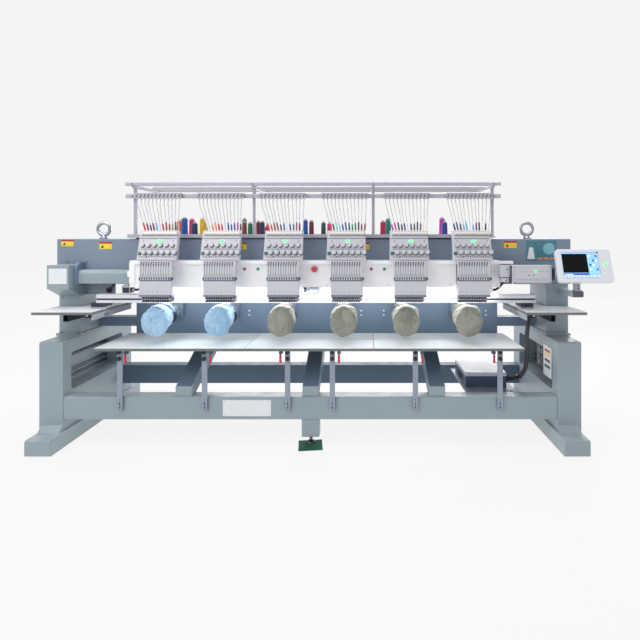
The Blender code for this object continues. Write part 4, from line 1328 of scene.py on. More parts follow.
def cap_fittings(number, fabric):
    """The parts that ride with a cap's cloth."""
    x, z = head_x(number), CAP_AXIS_Z
    front = CAP_SECTIONS[-1][0]
    ring = Piece()
    band = [(0.0, 0.0715), (0.0, 0.0735), (0.0040, 0.0735), (0.0040, 0.0788), (0.0070, 0.0788),
        (0.0070, 0.0735),
            (0.0160, 0.0735), (0.0160, 0.0715)]
    ring.add(hoop(band, (x, -0.2010, z)), STEEL)
    rim = []
    radii = []
    for step in range(41):
        angle = math.radians(-38.0 + 156.0 * step / 40.0)
        rim.append(cap_point(x, front, angle, 0.975) + Vector((0.0, -0.0035, 0.0)))
        radii.append(0.0008 + 0.0024 * math.sin(math.pi * step / 40.0) ** 0.5)
    ring.add(sweep(rim, 0.003, 10, radii), fabric)
    button = [(0.0, 0.0), (0.0, 0.0050), (0.0012, 0.0062), (0.0026, 0.0048), (0.0034, 0.0)]
    ring.add(turned(button, cap_point(x, front, 0.0, 0.0) + Vector((0.0, -0.0080, 0.0)), (0, -1, 0), 16),
        fabric)
    strip = []
    for step in range(13):
        angle = math.radians(15.0 - 53.0 * step / 12.0)
        strip.append((x + 0.0815 * math.cos(angle), z + 0.0815 * math.sin(angle)))
    for step in range(12, -1, -1):
        angle = math.radians(15.0 - 53.0 * step / 12.0)
        reach = 0.0845 + 0.0045 * math.sin(math.pi * step / 12.0)
        strip.append((x + reach * math.cos(angle), z + reach * math.sin(angle)))
    ring.add(prism(strip, "Y", (-0.265, -0.238), 0.0008), BLACK)
    ring.add(block((x + 0.010, x + 0.032), (-0.372, -0.340), (z - 0.1015, z - 0.0945), 0.002, 2), BLACK)
    ring.done(f"cap_ring_{number}", f"cap_{number}")


def hoop(profile, origin, sides=64):
    """A ring about the Y axis. The profile is closed: (Y from the origin, radius)."""
    part = bmesh.new()
    rings = []
    for along, radius in profile:
        turn = 2.0 * math.pi / sides
        rings.append([part.verts.new((origin[0] + radius * math.cos(turn * s), origin[1] + along,
            origin[2] + radius * math.sin(turn * s)))
                      for s in range(sides)])
    for index, ring in enumerate(rings):
        other = rings[(index + 1) % len(rings)]
        for step in range(sides):
            after = (step + 1) % sides
            part.faces.new((ring[step], ring[after], other[after], other[step]))
    return close(part)


def cap_hanger(number):
    """The bearing block that hangs a cap's driver ring from the guide rail."""
    x = head_x(number)
    piece = Piece()
    piece.add(block((x - 0.035, x + 0.035), (-0.243, -0.202), (0.8765, 0.8905), 0.003, 2), SILVER)
    for dx in (-0.024, 0.024):
        piece.screw((x + dx, -0.243, 0.8835), (0, -1, 0), 0.004, DARK_STEEL, 0.003)
    piece.done(f"cap_hanger_{number}", "pantograph_y")


# Pantograph

def x_beam():
    """An aluminium extrusion with a slot along its front, end caps, and painted shade in the slot towards
    both ends, where the light strip does not reach.
    """
    low, high = cad_box("x_beam")
    front, back, bottom, top = low.y, high.y, low.z, high.z
    outline = [
        (front, bottom), (back, bottom), (back, top), (front + 0.004, top), (front, top - 0.004),
        (front, 0.9165), (front + 0.006, 0.9165), (front + 0.006, 0.9045), (front, 0.9045),
    ]
    piece = Piece()
    piece.add(prism(outline, "X", (low.x + 0.003, high.x - 0.003), 0.0012, 1), RAIL)
    # Painted shade: dark strips on the slot's floor beyond the light strip's reach.
    for x in ((low.x + 0.003, -1.1000), (1.1200, high.x - 0.003)):
        piece.add(block(x, (front + 0.0050, front + 0.0062), (0.9055, 0.9155), 0.0), NAVY)
    piece.add(block((low.x + 0.003, high.x - 0.003), (front - 0.0008, front + 0.0005), (0.9395, 0.9405),
        0.0), ROSE)
    for x in ((low.x, low.x + 0.0035), (high.x - 0.0035, high.x)):
        piece.add(block(x, (front, back), (bottom, top), 0.001), SILVER)
    for x in np.arange(-1.3, 1.4, 0.2):
        piece.screw((float(x), front + 0.001, bottom + 0.009), (0, -1, 0), 0.0035, STEEL, 0.001)
    piece.done("x_beam", "pantograph_x", ["x_beam"])


def y_frame():
    """The guide rail behind the X beam and the dark sliders that carry it on the wing tables."""
    piece = Piece()
    half = 1.450
    piece.add(block((-half, half), (-0.245, -0.200), (0.890, 0.935), 0.002, 2), RAIL)
    for side in (-1, 1):
        outline = [(-0.320, 0.8565), (-0.200, 0.8565), (-0.200, 0.8995), (-0.250, 0.8995), (-0.250, 0.8862),
            (-0.320, 0.8862)]
        piece.add(prism(outline, "X", flip(side, (1.360, 1.440)), 0.002, 1), NAVY)
        piece.add(block(flip(side, (1.352, 1.448)), (-0.3215, -0.198), (0.8545, 0.8600), 0.0015), SILVER)
        for x in (1.375, 1.425):
            piece.screw((side * x, -0.320, 0.871), (0, -1, 0), 0.005, DARK_STEEL)
    piece.done("y_frame", "pantograph_y", ["y_frame"])


# White covers between the heads

def front_panel():
    piece = Piece()
    piece.add(cad_shape("front_panel", 0.0008, 1), COVER_PAINTED_LIGHT)
    for n in range(HEADS + 1):
        for edge in (-1, 1):
            x = (n - 3.0) * HEAD_PITCH + edge * 0.100
            if -1.17 < x < 1.21:
                for z in (1.150, 1.004):
                    piece.screw((x, PANEL_FRONT, z), (0, -1, 0), 0.0035, STEEL, 0.0015)
    for x in (-0.438, -0.351, 0.386, 0.470):
        ring = [(0.0, 0.0095), (0.0, 0.0130), (0.0018, 0.0125), (0.0018, 0.0095)]
        piece.add(hoop([(-a, r) for a, r in ring], (x, PANEL_FRONT, BUTTON_Z), 28), SHELL)
    ring = [(0.0, 0.0118), (0.0, 0.0240), (0.0030, 0.0225), (0.0030, 0.0118)]
    piece.add(hoop([(-a, r) for a, r in ring], (0.016, PANEL_FRONT, BUTTON_Z), 36), SHELL)
    piece.add(block((-1.187, -1.150), (-0.3290, -0.3250), (1.012, 1.150), 0.001), COVER_PAINTED_LIGHT)
    piece.add(block((-1.200, -1.185), (-0.3270, -0.3230), (1.058, 1.094), 0.001), COVER_PAINTED_LIGHT)
    piece.add(block((1.165, 1.222), (-0.3290, -0.3250), (1.045, 1.163), 0.001), COVER_PAINTED_LIGHT)
    piece.screw((1.182, -0.329, 1.094), (0, -1, 0), 0.003, DARK_STEEL, 0.001)
    piece.done("front_panel", "frame", ["front_panel"])


def light_cover():
    """The white channel under the head rail, with its light strip, a back cover that glows as painted light
    from the strip, and the parts that show in it.
    """
    piece = Piece()
    # Painted light: this back cover glows faintly, as if lit by the strip.
    piece.add(block((-1.160, 1.095), (-0.2560, -0.2530), (0.9450, 1.0095), 0.0005), PAINTED_GLOW_WHITE)
    piece.add(block((-1.160, 1.095), (-0.3030, -0.2900), (0.9925, 0.9990), 0.001), WHITE)
    piece.add(block((-1.150, 1.085), (-0.2990, -0.2940), (0.9905, 0.9926), 0.0003), WHITE_GLOW)
    piece.add(block((-0.056, -0.042), (-0.3040, -0.2560), (0.955, 0.990), 0.002), NAVY)
    piece.add(block((-0.024, 0.040), (-0.3000, -0.2560), (0.947, 0.990), 0.003, 2), BAND)
    for n in range(1, HEADS + 1):
        x = head_x(n)
        piece.add(block((x - 0.050, x + 0.050), (-0.3020, -0.2560), (0.950, 0.992), 0.004, 2), WHITE)
    piece.done("light_cover", "frame")


def push_button(name, x, material):
    piece = Piece()
    knob = [(-0.016, 0.0050), (0.0, 0.0078), (0.005, 0.0080), (0.0075, 0.0066), (0.0080, 0.0)]
    piece.add(turned(knob, (x, PANEL_FRONT, BUTTON_Z), (0, -1, 0), 24), material)
    piece.done(name, name, [name])


def emergency_stop():
    x = 0.016
    piece = Piece()
    head = [(-0.016, 0.0), (-0.016, 0.0095), (0.010, 0.0095), (0.0102, 0.0160), (0.0125, 0.0188),
        (0.0200, 0.0190),
            (0.0240, 0.0172), (0.0258, 0.0120), (0.0250, 0.0)]
    piece.add(turned(head, (x, PANEL_FRONT, BUTTON_Z), (0, -1, 0), 36), RED)
    for step in range(3):
        angle = math.radians(90.0 + 120.0 * step)
        mark = [Vector((x + 0.012 * math.cos(angle + a), -0.3510,
            BUTTON_Z + 0.012 * math.sin(angle + a))) for a in (-0.5, -0.25, 0.0, 0.25, 0.5)]
        piece.add(sweep(mark, 0.0007, 6), SHELL)
    piece.done("emergency_stop", "emergency_stop", ["emergency_stop"])


# Colour change

def digits(piece, text, size, matrix, material):
    """A plain number as thin raised ink."""
    curve = bpy.data.curves.new("digits", "FONT")
    curve.body = text
    curve.size = size
    curve.extrude = size * 0.03
    curve.align_x = "CENTER"
    curve.align_y = "CENTER"
    holder = bpy.data.objects.new("digits", curve)
    bpy.context.scene.collection.objects.link(holder)
    graph = bpy.context.evaluated_depsgraph_get()
    mesh = bpy.data.meshes.new_from_object(holder.evaluated_get(graph))
    part = bmesh.new()
    part.from_mesh(mesh)
    bpy.data.objects.remove(holder, do_unlink=True)
    bpy.data.curves.remove(curve)
    bpy.data.meshes.remove(mesh)
    piece.add(part, material, matrix)


def colour_change_box():
    name = "colour_change_box"
    piece = Piece()
    front = -0.430
    piece.add(block((1.270, 1.519), (-0.428, -0.360), (1.021, 1.138), 0.003, 2), WHITE)
    piece.add(block((1.276, 1.514), (front - 0.0008, -0.427), (1.026, 1.134), 0.002, 2), WHITE)
    piece.add(block((1.262, 1.2705), (-0.424, -0.362), (1.024, 1.136), 0.001), GROOVE)
    piece.add(block((1.200, 1.262), (-0.405, -0.365), (1.062, 1.136), 0.002), WHITE)
    piece.add(block((1.200, 1.262), (-0.4035, -0.365), (1.0575, 1.0622), 0.0), GROOVE)
    piece.add(block((1.206, 1.258), (-0.403, -0.365), (1.030, 1.0578), 0.002), WHITE)
    for x, z in ((1.243, 1.112), (1.240, 1.042)):
        piece.screw((x, -0.405, z), (0, -1, 0), 0.0045, DARK_STEEL, 0.002)
    upright = Matrix.Rotation(math.radians(90.0), 4, "X")
    for step in range(NEEDLES):
        x = 1.292 + 0.0175 * step
        if step == 7:
            piece.add(prism(rounded((x - 0.0085, x + 0.0085), (1.0945, 1.1055), 0.003, 3), "Y",
                (-0.4335, -0.4300), 0.001), GREEN_GLOW)
        digits(piece, str(step + 1), 0.0100, Matrix.Translation((x, -0.4310, 1.1000)) @ upright, INK_AND_SHADE)
    border = [(1.284, 1.032), (1.506, 1.032), (1.506, 1.128), (1.284, 1.128)]
    for (x_a, z_a), (x_b, z_b) in zip(border, border[1:] + border[:1]):
        piece.add(sweep([(x_a, -0.4309, z_a), (x_b, -0.4309, z_b)], 0.0007, 6), BAND)
    for z in (1.053, 1.046):
        piece.add(block((1.290, 1.500), (-0.4314, -0.4305), (z - 0.0008, z + 0.0008), 0.0), BAND)
    for x in (1.281, 1.510):
        for z in (1.031, 1.130):
            piece.screw((x, -0.4308, z), (0, -1, 0), 0.0032, DARK_STEEL, 0.0015)
    for x in (1.374, 1.404):
        piece.screw((x, -0.4308, 1.076), (0, -1, 0), 0.0042, DARK_STEEL, 0.002)
    piece.add(block((1.280, 1.519), (-0.4330, -0.4200), (1.0205, 1.0275), 0.001), BAND)
    piece.add(prism(rounded((-0.420, -0.352), (1.042, 1.122), 0.018), "X", (1.5185, 1.5430), 0.004, 2),
        NAVY)
    knob = [(0.0, 0.024), (0.006, 0.0265), (0.013, 0.0255), (0.015, 0.020), (0.0155, 0.0)]
    piece.add(turned(knob, (1.540, -0.386, 1.082), (1, 0, 0), 28), SHELL)
    piece.add(block((1.300, 1.490), (-0.365, -0.2153), (1.030, 1.120), 0.003, 2), FRAME)
    piece.done(name, "frame", [name])


def colour_change_bar():
    name = "colour_change_bar"
    piece = Piece()
    piece.add(cad_shape(name, 0.0015, 2), COVER_PAINTED_LIGHT)
    piece.done(name, "needle_cases", [name])


def main_shaft():
    low, high = cad_box("main_shaft")
    y, z = (low.y + high.y) / 2.0, (low.z + high.z) / 2.0
    piece = Piece()
    piece.add(rod((low.x, y, z), (1, 0, 0), high.x - low.x, 0.0125, 28), STEEL)
    for x in (-0.8, -0.4, 0.0, 0.4, 0.8):
        piece.add(block((x - 0.020, x + 0.020), (y - 0.0035, y + 0.0035), (z + 0.0105, z + 0.0135), 0.0005),
            DARK_STEEL)
    piece.done("main_shaft", "main_shaft", ["main_shaft"])


def hand_lever():
    x, z = -1.400, 0.955
    piece = Piece()
    hub = [(0.0, 0.0), (0.0, 0.013), (0.003, 0.017), (0.022, 0.017), (0.0285, 0.013), (0.0315, 0.008),
        (0.0315, 0.0)]
    piece.add(turned(hub, (x, -0.1585, z), (0, -1, 0), 24), BLACK)
    turn = Matrix.Rotation(math.radians(-45.0), 4, "Y")
    piece.add(rod((0.0, 0.0, 0.0), (1, 0, 0), 0.062, 0.0040, 12), DARK_STEEL,
        Matrix.Translation((x, -0.184, z)) @ turn)
    piece.add(rod((0.040, 0.0, 0.0), (1, 0, 0), 0.022, 0.0058, 14, 0.002), BLACK,
        Matrix.Translation((x, -0.184, z)) @ turn)
    piece.done("hand_lever", "hand_lever", ["hand_lever"])


# Thread stand

def plate_x(number):
    return (number - 3.5) * PLATE_PITCH + PLATE_SHIFT


def eyelet_x(number, step):
    return plate_x(number) + (step - 5.5) * EYELET_PITCH


def thread_rack():
    piece = Piece()
    tray = [(-0.235, 1.3115), (-0.229, 1.310), (0.134, 1.310), (0.140, 1.3115), (0.140, 1.335),
        (0.136, 1.335), (0.136, 1.3145),
            (-0.231, 1.3145), (-0.231, 1.335), (-0.235, 1.335)]
    piece.add(prism(tray, "X", (-1.246, 1.200), 0.0010, 1), RACK)
    for x in (-1.246, 1.197):
        piece.add(block((x, x + 0.003), (-0.233, 0.138), (1.311, 1.335), 0.0008), RACK)
    piece.add(block((-1.200, 1.160), (-0.210, 0.090), (1.3033, 1.3105), 0.001), NAVY)
    half = 1.246
    piece.add(block((-half, half), (-0.262, -0.238), (1.656, 1.680), 0.0035, 2), RACK)
    piece.add(block((-half, half), (0.140, 0.160), (1.652, 1.690), 0.003, 2), RACK)
    piece.add(block((-half, half), (-0.260, -0.240), (1.574, 1.602), 0.003, 2), RACK)
    for x in (-1.200, -0.400, 0.400, 1.200):
        piece.add(block((x - 0.010, x + 0.010), (-0.2205, -0.2005), (1.3140, 1.6565), 0.002, 2), RACK)
        piece.add(block((x - 0.009, x + 0.009), (-0.248, 0.150), (1.642, 1.662), 0.002, 2), RACK)
        piece.add(block((x - 0.010, x + 0.010), (-0.245, -0.210), (1.580, 1.596), 0.0015), RACK)
        piece.add(block((x - 0.022, x + 0.022), (-0.232, -0.190), (1.3140, 1.3180), 0.001), RACK)
        for z in (1.668, 1.588):
            piece.screw((x, -0.262 if z > 1.6 else -0.260, z), (0, -1, 0), 0.0045, DARK_STEEL)
        for dy in (-0.225, -0.196):
            piece.screw((x + 0.016, dy, 1.3180), (0, 0, 1), 0.0032, DARK_STEEL)
    for x in np.arange(-1.12, 1.2, 0.40):
        for dx in (0.0, 0.075):
            piece.screw((float(x) + dx, -0.262, 1.668), (0, -1, 0), 0.003, DARK_STEEL, 0.0015)
    for side in (-1, 1):
        piece.add(block(flip(side, (half - 0.0005, half + 0.0002)), (-0.260, -0.240), (1.658, 1.678), 0.0),
            DARK_STEEL)
    piece.done("thread_rack", "frame", ["thread_rack"])


def guide_plate(number):
    """The bent sheet over a head with its twelve slanted thread hooks."""
    x = plate_x(number)
    piece = Piece()
    outline = [(-0.285, 1.567), (-0.282, 1.567), (-0.282, 1.604), (-0.255, 1.604), (-0.255, 1.607),
        (-0.285, 1.607)]
    piece.add(prism(outline, "X", (x - PLATE_HALF, x + PLATE_HALF), 0.0006, 1), RACK)
    for step in range(NEEDLES):
        spot = eyelet_x(number, step)
        piece.add(rod((spot, -0.2850, 1.5800), (0, 1, 0), 0.0006, 0.0026, 12, 0.0001), GROOVE)
        wire = [
            (spot - 0.0035, -0.2845, 1.5780), (spot - 0.0022, -0.2885, 1.5830),
                (spot + 0.0008, -0.2895, 1.5895),
            (spot + 0.0034, -0.2885, 1.5950), (spot + 0.0046, -0.2845, 1.5985),
        ]
        piece.add(sweep(smooth_route(wire, 10), 0.0017, 6), BLACK)
    piece.done(f"guide_plate_{number}", "frame")


def thread_tubes(number):
    """The twelve nylon tubes of a head, from its guide plate to the coloured sleeves on its tension base."""
    piece = Piece()
    case = head_x(number) + CASE_SHIFT
    rng = np.random.default_rng(7 * number)
    for step in range(NEEDLES):
        top = Vector((eyelet_x(number, step), -0.272, 1.566))
        end = Vector((case + thread_x(step), -0.345, 1.3560))
        bow = rng.uniform(-0.003, 0.003)
        points = [top + Vector((0.0, 0.0, 0.016)), top]
        for share in (0.15, 0.35, 0.58, 0.80, 0.94, 1.0):
            across = max(0.0, share - 0.12) / 0.88
            spot = top.lerp(end, share)
            spot.x = top.x + (end.x - top.x) * across + bow * math.sin(math.pi * share)
            points.append(spot)
        route = smooth_route(points, 30)
        piece.add(sweep(route, TUBE_RADIUS, 8), TUBE)
        colour = SLEEVES[number - 1][step]
        if colour:
            tall = 0.050 + 0.009 * math.sin(1.9 * step + number)
            low = end + Vector((0.0, 0.0, 0.0035))
            lean = (route[-9] - end).normalized()
            sleeve = [low + lean * (tall * t) for t in (0.0, 0.05, 0.5, 0.92, 1.0)]
            piece.add(sweep(sleeve, SLEEVE_RADIUS, 12,
                [SLEEVE_RADIUS * f for f in (0.75, 1.0, 1.04, 0.96, 0.68)]), THREAD[colour])
    mesh = piece.mesh(f"thread_tubes_{number}")
    piece.bm.free()
    mesh.transform(Matrix.Translation((CENTRE, 0.0, 0.0)))
    obj = bpy.data.objects.new(f"thread_tubes_{number}", mesh)
    bpy.context.scene.collection.objects.link(obj)
    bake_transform(obj)


SLEEVES = (
    ("red", "plum", "plum", "plum", "sky", None, "crimson", "brown", "brown", "tan", "forest", None),
    ("tan", None, "salmon", "salmon", "crimson", "crimson", None, "blue", "blue", "blue", "magenta",
        "dark"),
    ("crimson", "crimson", "brown", "brown", "dark", "blue", None, "blue", "green", "magenta", "dark",
        None),
    ("crimson", "dark", "aqua", "aqua", "purple", "blue", "forest", "green", "green", "dark", "plum",
        "maroon"),
    ("magenta", "magenta", "ebony", "ebony", "purple", None, "navy", "dark", "navy", "plum", None, None),
    ("navy", "blue", "dark", "sky", "sky", None, "sky", "plum", "dark", None, "navy", None),
)

# Cones: X, Y, half width, height and thread, one group for each gap between two heads
CONES = (
    (
        (-0.9631, -0.060, 0.0190, 0.118, "orange"), (-0.8876, -0.165, 0.0226, 0.131, "blue"),
        (-0.8750, -0.060, 0.0210, 0.128, "pink"), (-0.8182, -0.165, 0.0215, 0.0984, "navy"),
        (-0.7632, -0.165, 0.0212, 0.1285, "yellow"),
    ),
    (
        (-0.4788, -0.165, 0.0172, 0.105, "brown"), (-0.5047, -0.060, 0.0175, 0.128, "forest"),
        (-0.4395, -0.165, 0.0170, 0.097, "green"), (-0.4060, -0.060, 0.0180, 0.110, "maroon"),
        (-0.3558, -0.165, 0.0175, 0.105, "navy"), (-0.3450, -0.060, 0.0170, 0.080, "pink"),
    ),
    (
        (-0.0619, -0.165, 0.0175, 0.118, "blue"), (-0.0208, -0.165, 0.0175, 0.110, "maroon"),
        (0.0612, -0.165, 0.0172, 0.101, "forest"), (0.0950, -0.060, 0.0180, 0.100, "pink"),
    ),
    (
        (0.4679, -0.165, 0.0205, 0.109, "crimson"), (0.5094, -0.060, 0.0215, 0.1295, "teal"),
    ),
    (
        (0.8881, -0.060, 0.0215, 0.135, "magenta"), (0.8882, -0.165, 0.0212, 0.104, "indigo"),
    ),
)


def cones():
    """The thread cones that stand on the tray, in two rows between the heads."""
    for bay, group in enumerate(CONES, 1):
        piece = Piece()
        for x, y, wide, tall, colour in group:
            floor = 1.3148
            core = [
                (0.0, wide + 0.002), (0.003, wide + 0.002), (0.004, wide - 0.001), (tall + 0.004, 0.0100),
                (tall + 0.007, 0.0090), (tall + 0.007, 0.0075), (tall + 0.001, 0.0070), (tall + 0.001, 0.0),
            ]
            piece.add(turned(core, (x, y, floor), (0, 0, 1), 24), CORE)
            wound = [(0.0042, wide - 0.002), (0.0065, wide - 0.0004), (0.012, wide)]
            for layer in range(1, 8):
                t = layer / 7.0
                wound.append((0.012 + (tall - 0.022) * t,
                    wide * (1.0 - 0.10 * t) + 0.0005 * math.sin(layer * 2.0)))
            wound += [(tall - 0.004, wide * 0.74), (tall - 0.001, wide * 0.46), (tall - 0.001, 0.0100)]
            piece.add(turned(wound, (x, y, floor), (0, 0, 1), 28), THREAD[colour])
        piece.done(f"cones_{bay}", "frame")


# Control panel

def control_panel():
    """The rounded display case on its swivel neck, with its screen and lit key."""
    name = "control_panel"
    centre = Vector((1.694, -0.480, 1.136))
    tilt = Matrix.Translation(centre) @ Matrix.Rotation(math.radians(-19.0), 4, "X")
    piece = Piece()
    piece.add(prism(rounded((-0.1665, 0.1665), (-0.1055, 0.1055), 0.016, 6), "Y", (-0.0195, 0.020), 0.005,
        3), SHELL, tilt)

    def screen(x, z, out, material, bevel=0.0004):
        piece.add(block(x, (-0.0198 - out, -0.0190), z, bevel), material, tilt)

    screen((-0.138, 0.088), (-0.078, 0.084), 0.0006, BAND)
    screen((-0.136, 0.086), (-0.076, 0.082), 0.0010, SKY)
    screen((-0.136, 0.018), (-0.046, 0.074), 0.0014, DARK_GLASS)
    screen((-0.134, 0.018), (-0.062, -0.048), 0.0014, DEEP_BLUE)
    screen((-0.128, -0.080), (-0.060, -0.054), 0.0018, PALE_GLOW)
    screen((-0.136, 0.086), (-0.076, -0.064), 0.0014, PALE_GLOW)
    for row in range(4):
        for column in range(3):
            x, z = 0.026 + 0.020 * column, 0.052 - 0.028 * row
            tint = (PALE_GLOW, SKY, DEEP_BLUE)[(row + column) % 3]
            screen((x, x + 0.014), (z, z + 0.014), 0.0018, tint, 0.001)
    for column in range(9):
        screen((-0.128 + 0.023 * column, -0.112 + 0.023 * column), (-0.0745, -0.0665), 0.0018, SKY)
    screen((0.080, 0.090), (0.078, 0.088), 0.0016, BLACK, 0.001)
    key = [(0.0, 0.0150), (0.0015, 0.0150), (0.0022, 0.0120), (0.0022, 0.0)]
    piece.add(turned(key, (0.127, -0.0195, 0.006), (0, -1, 0), 32), GREEN_HALO, tilt)
    key = [(0.0018, 0.0095), (0.0030, 0.0090), (0.0034, 0.0)]
    piece.add(turned(key, (0.127, -0.0195, 0.006), (0, -1, 0), 28), GREEN_GLOW, tilt)
    for x in (-0.145, 0.145):
        for z in (-0.085, 0.085):
            piece.screw(tilt @ Vector((x, 0.020, z)),
                (0, math.cos(math.radians(19)), -math.sin(math.radians(19))), 0.004, DARK_STEEL)
    for step in range(8):
        z = -0.030 + 0.008 * step
        piece.add(block((-0.060, 0.060), (0.0195, 0.0206), (z, z + 0.003), 0.0), GROOVE, tilt)
    neck = [(0.0, 0.030), (0.004, 0.030), (0.006, 0.022), (0.062, 0.022), (0.066, 0.019), (0.068, 0.0)]
    piece.add(turned(neck, (1.678, -0.420, 0.9785), (0, 0, 1), 28), RACK)
    piece.add(block((1.648, 1.708), (-0.500, -0.400), (1.036, 1.048), 0.002, 2), RACK)
    piece.add(block((1.585, 1.720), (-0.478, -0.395), (1.0455, 1.0515), 0.0015), RACK)
    for x in (1.655, 1.700):
        piece.screw((x, -0.490, 1.048), (0, 0, 1), 0.0055, DARK_STEEL)
    for z in (0.994, 1.010):
        piece.screw((1.678, -0.442, z), (0, -1, 0), 0.0045, DARK_STEEL)
    piece.done(name, name, [name])


# Power box and conduit

def power_box():
    name = "power_box"
    piece = Piece()
    piece.add(block((1.010, 1.340), (-0.3247, 0.3147), (0.284, 0.2935), 0.002, 1), BEAM)
    piece.add(block((1.031, 1.309), (-0.174, 0.204), (0.2925, 0.3640), 0.003, 2), BOX_DARK)
    piece.add(block((1.030, 1.310), (-0.175, 0.205), (0.3665, 0.3925), 0.004, 2), BOX)
    piece.add(block((1.032, 1.308), (-0.173, 0.203), (0.3600, 0.3680), 0.0005), GROOVE)
    for y in (-0.140, 0.020, 0.170):
        for side, x in ((-1, 1.030), (1, 1.310)):
            piece.screw((x, y, 0.380), (side, 0, 0), 0.0045, STEEL, 0.002)
    for step in range(9):
        y = -0.070 + 0.018 * step
        piece.add(block((1.0295, 1.0315), (y, y + 0.010), (0.308, 0.345), 0.0004), BLACK)
    piece.add(rod((1.3105, -0.145, 0.342), (-1, 0, 0), 0.004, 0.024, 28), BLACK)
    piece.add(turned([(0.0, 0.021), (0.008, 0.019), (0.008, 0.0155)], (1.3095, -0.145, 0.342), (1, 0, 0),
        24), BLACK)
    for x in (1.060, 1.280):
        for y in (-0.165, 0.195):
            piece.screw((x, y, 0.3925), (0, 0, 1), 0.0045, STEEL, 0.002)
    piece.done(name, "frame", [name])


def conduit():
    """Corrugated conduit from under the right wing table to the power box."""
    route = smooth_route(
        [
            (1.445, -0.240, 0.832), (1.445, -0.240, 0.805), (1.432, -0.252, 0.755), (1.420, -0.262, 0.690),
            (1.416, -0.262, 0.610), (1.418, -0.255, 0.520), (1.415, -0.232, 0.435), (1.395, -0.190, 0.375),
            (1.360, -0.155, 0.346), (1.335, -0.145, 0.342), (1.312, -0.145, 0.342),
        ],
        360,
    )
    radii = [0.0150 if index % 4 < 2 else 0.0128 for index in range(len(route))]
    piece = Piece()
    piece.add(sweep(route, 0.015, 16, radii), RUBBER)
    clip = route[255]
    piece.add(sweep(route[250:268], 0.0175, 16), BLACK)
    piece.add(block((clip.x - 0.012, clip.x + 0.012), (clip.y + 0.010, clip.y + 0.026),
        (clip.z - 0.010, clip.z + 0.010), 0.002), BLACK)
    piece.done("conduit", "frame", ["conduit"])


# Labels and plates, all blank or with plain shapes

def labels():
    piece = Piece()
    front = BEAM_FRONT

    def warning(x, z, width, height):
        piece.add(block((x, x + width), (front - 0.0010, front), (z, z + height), 0.0), YELLOW)
        piece.add(block((x, x + width), (front - 0.0014, front), (z + height * 0.76, z + height), 0.0),
            LABEL_RED)
        mark = [(x + width * 0.12, z + height * 0.16), (x + width * 0.38, z + height * 0.16),
            (x + width * 0.25, z + height * 0.62)]
        piece.add(prism(mark, "Y", (front - 0.0016, front)), INK_AND_SHADE)

    warning(-1.698, 1.254, 0.082, 0.043)
    warning(-1.4426, 1.235, 0.085, 0.048)
    warning(-0.485, 1.2335, 0.032, 0.0445)
    warning(0.345, 1.2335, 0.028, 0.0445)
    warning(1.280, 1.242, 0.085, 0.046)
    poster = (1.4275, 1.6334)
    piece.add(block(poster, (front - 0.0012, front), (1.1575, 1.2927), 0.0), TEAL)
    disc = [(1.5816 + 0.039 * math.cos(a),
        1.238 + 0.039 * math.sin(a)) for a in np.arange(32) * math.pi / 16.0]
    piece.add(prism(disc, "Y", (front - 0.0016, front)), TEAL_LIGHT)
    cone = [(1.436, 1.168), (1.488, 1.168), (1.474, 1.246), (1.450, 1.246)]
    piece.add(prism(cone, "Y", (front - 0.0016, front)), PLATE)
    for start in (1.505, 1.547, 1.589):
        piece.add(block((start, start + 0.034), (front - 0.0016, front), (1.165, 1.177), 0.0), ORANGE)
    piece.done("labels", "frame")


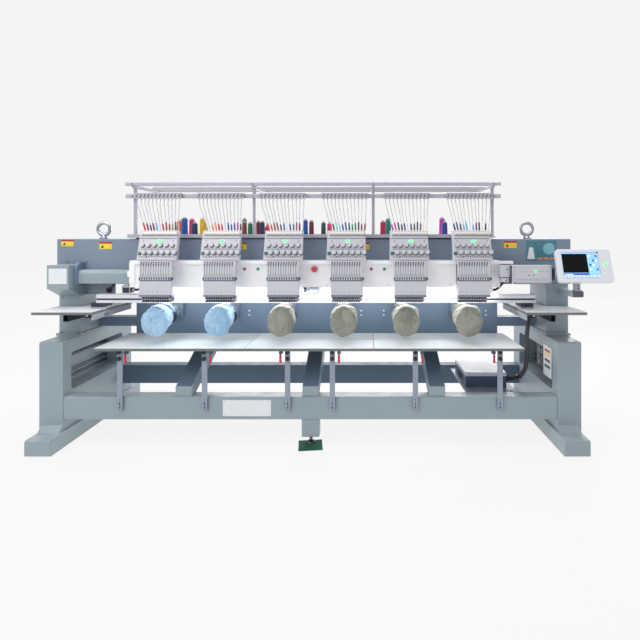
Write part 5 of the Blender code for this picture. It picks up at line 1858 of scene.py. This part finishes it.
def stage():
    """A pale floor that turns up into a plain backdrop, with soft studio light."""
    profile = [(-9.0, 0.0)]
    for step in range(13):
        angle = math.radians(90.0 * step / 12.0)
        profile.append((6.0 + 3.0 * math.sin(angle), 3.0 - 3.0 * math.cos(angle)))
    profile.append((9.0, 9.0))
    part = bmesh.new()
    rows = [[part.verts.new((x, y, z)) for y, z in profile] for x in (-14.0, 14.0)]
    for index in range(len(profile) - 1):
        part.faces.new((rows[0][index], rows[0][index + 1], rows[1][index + 1], rows[1][index]))
    for face in part.faces:
        face.smooth = True
    mesh = bpy.data.meshes.new("studio_floor")
    part.to_mesh(mesh)
    part.free()
    mesh.materials.append(glowing_floor())
    floor = bpy.data.objects.new("studio_floor", mesh)
    bpy.context.scene.collection.objects.link(floor)
    world = bpy.data.worlds.new("studio")
    bpy.context.scene.world = world
    world.use_nodes = True
    background = world.node_tree.nodes["Background"]
    background.inputs["Color"].default_value = (0.95, 0.98, 1.0, 1.0)
    background.inputs["Strength"].default_value = SKY_STRENGTH
    for name, place, target, width, height, power in LIGHTS:
        data = bpy.data.lights.new(name, "AREA")
        data.shape = "RECTANGLE"
        data.size = width
        data.size_y = height
        data.energy = power
        lamp = bpy.data.objects.new(name, data)
        lamp.location = place
        lamp.rotation_euler = (Vector(target) - Vector(place)).to_track_quat("-Z", "Y").to_euler()
        lamp.visible_camera = False
        bpy.context.scene.collection.objects.link(lamp)
    bpy.context.scene.view_settings.view_transform = "Standard"


def build():
    for side in (-1, 1):
        side_frame(side)
        upper_column(side)
        wing_table(side)
    recess_electrics()
    front_beam()
    rear_beam()
    floor_pad()
    main_beam()
    arm_beam()
    table_board("table_left", STRAP_X[:2])
    table_board("table_centre", STRAP_X[2:4])
    table_board("table_right", STRAP_X[4:])
    for number, (x, side) in enumerate(zip(STRAP_X, LEVER_SIDE), 1):
        place = x + side * LEVER_OFFSET
        lock_lever(number, place)
        lever_mount(number, place)
    head_cases()
    for number in range(1, HEADS + 1):
        head_arm(number)
        cylinder_arm(number)
        cap(number)
        cap_hanger(number)
        guide_plate(number)
        thread_tubes(number)
    cones()
    x_beam()
    y_frame()
    front_panel()
    light_cover()
    push_button("stop_button_1", -0.438, RED)
    push_button("start_button_1", -0.351, GREEN)
    push_button("stop_button_2", 0.386, RED)
    push_button("start_button_2", 0.470, GREEN)
    emergency_stop()
    colour_change_box()
    colour_change_bar()
    main_shaft()
    hand_lever()
    thread_rack()
    control_panel()
    power_box()
    conduit()
    labels()
    stage()


build()
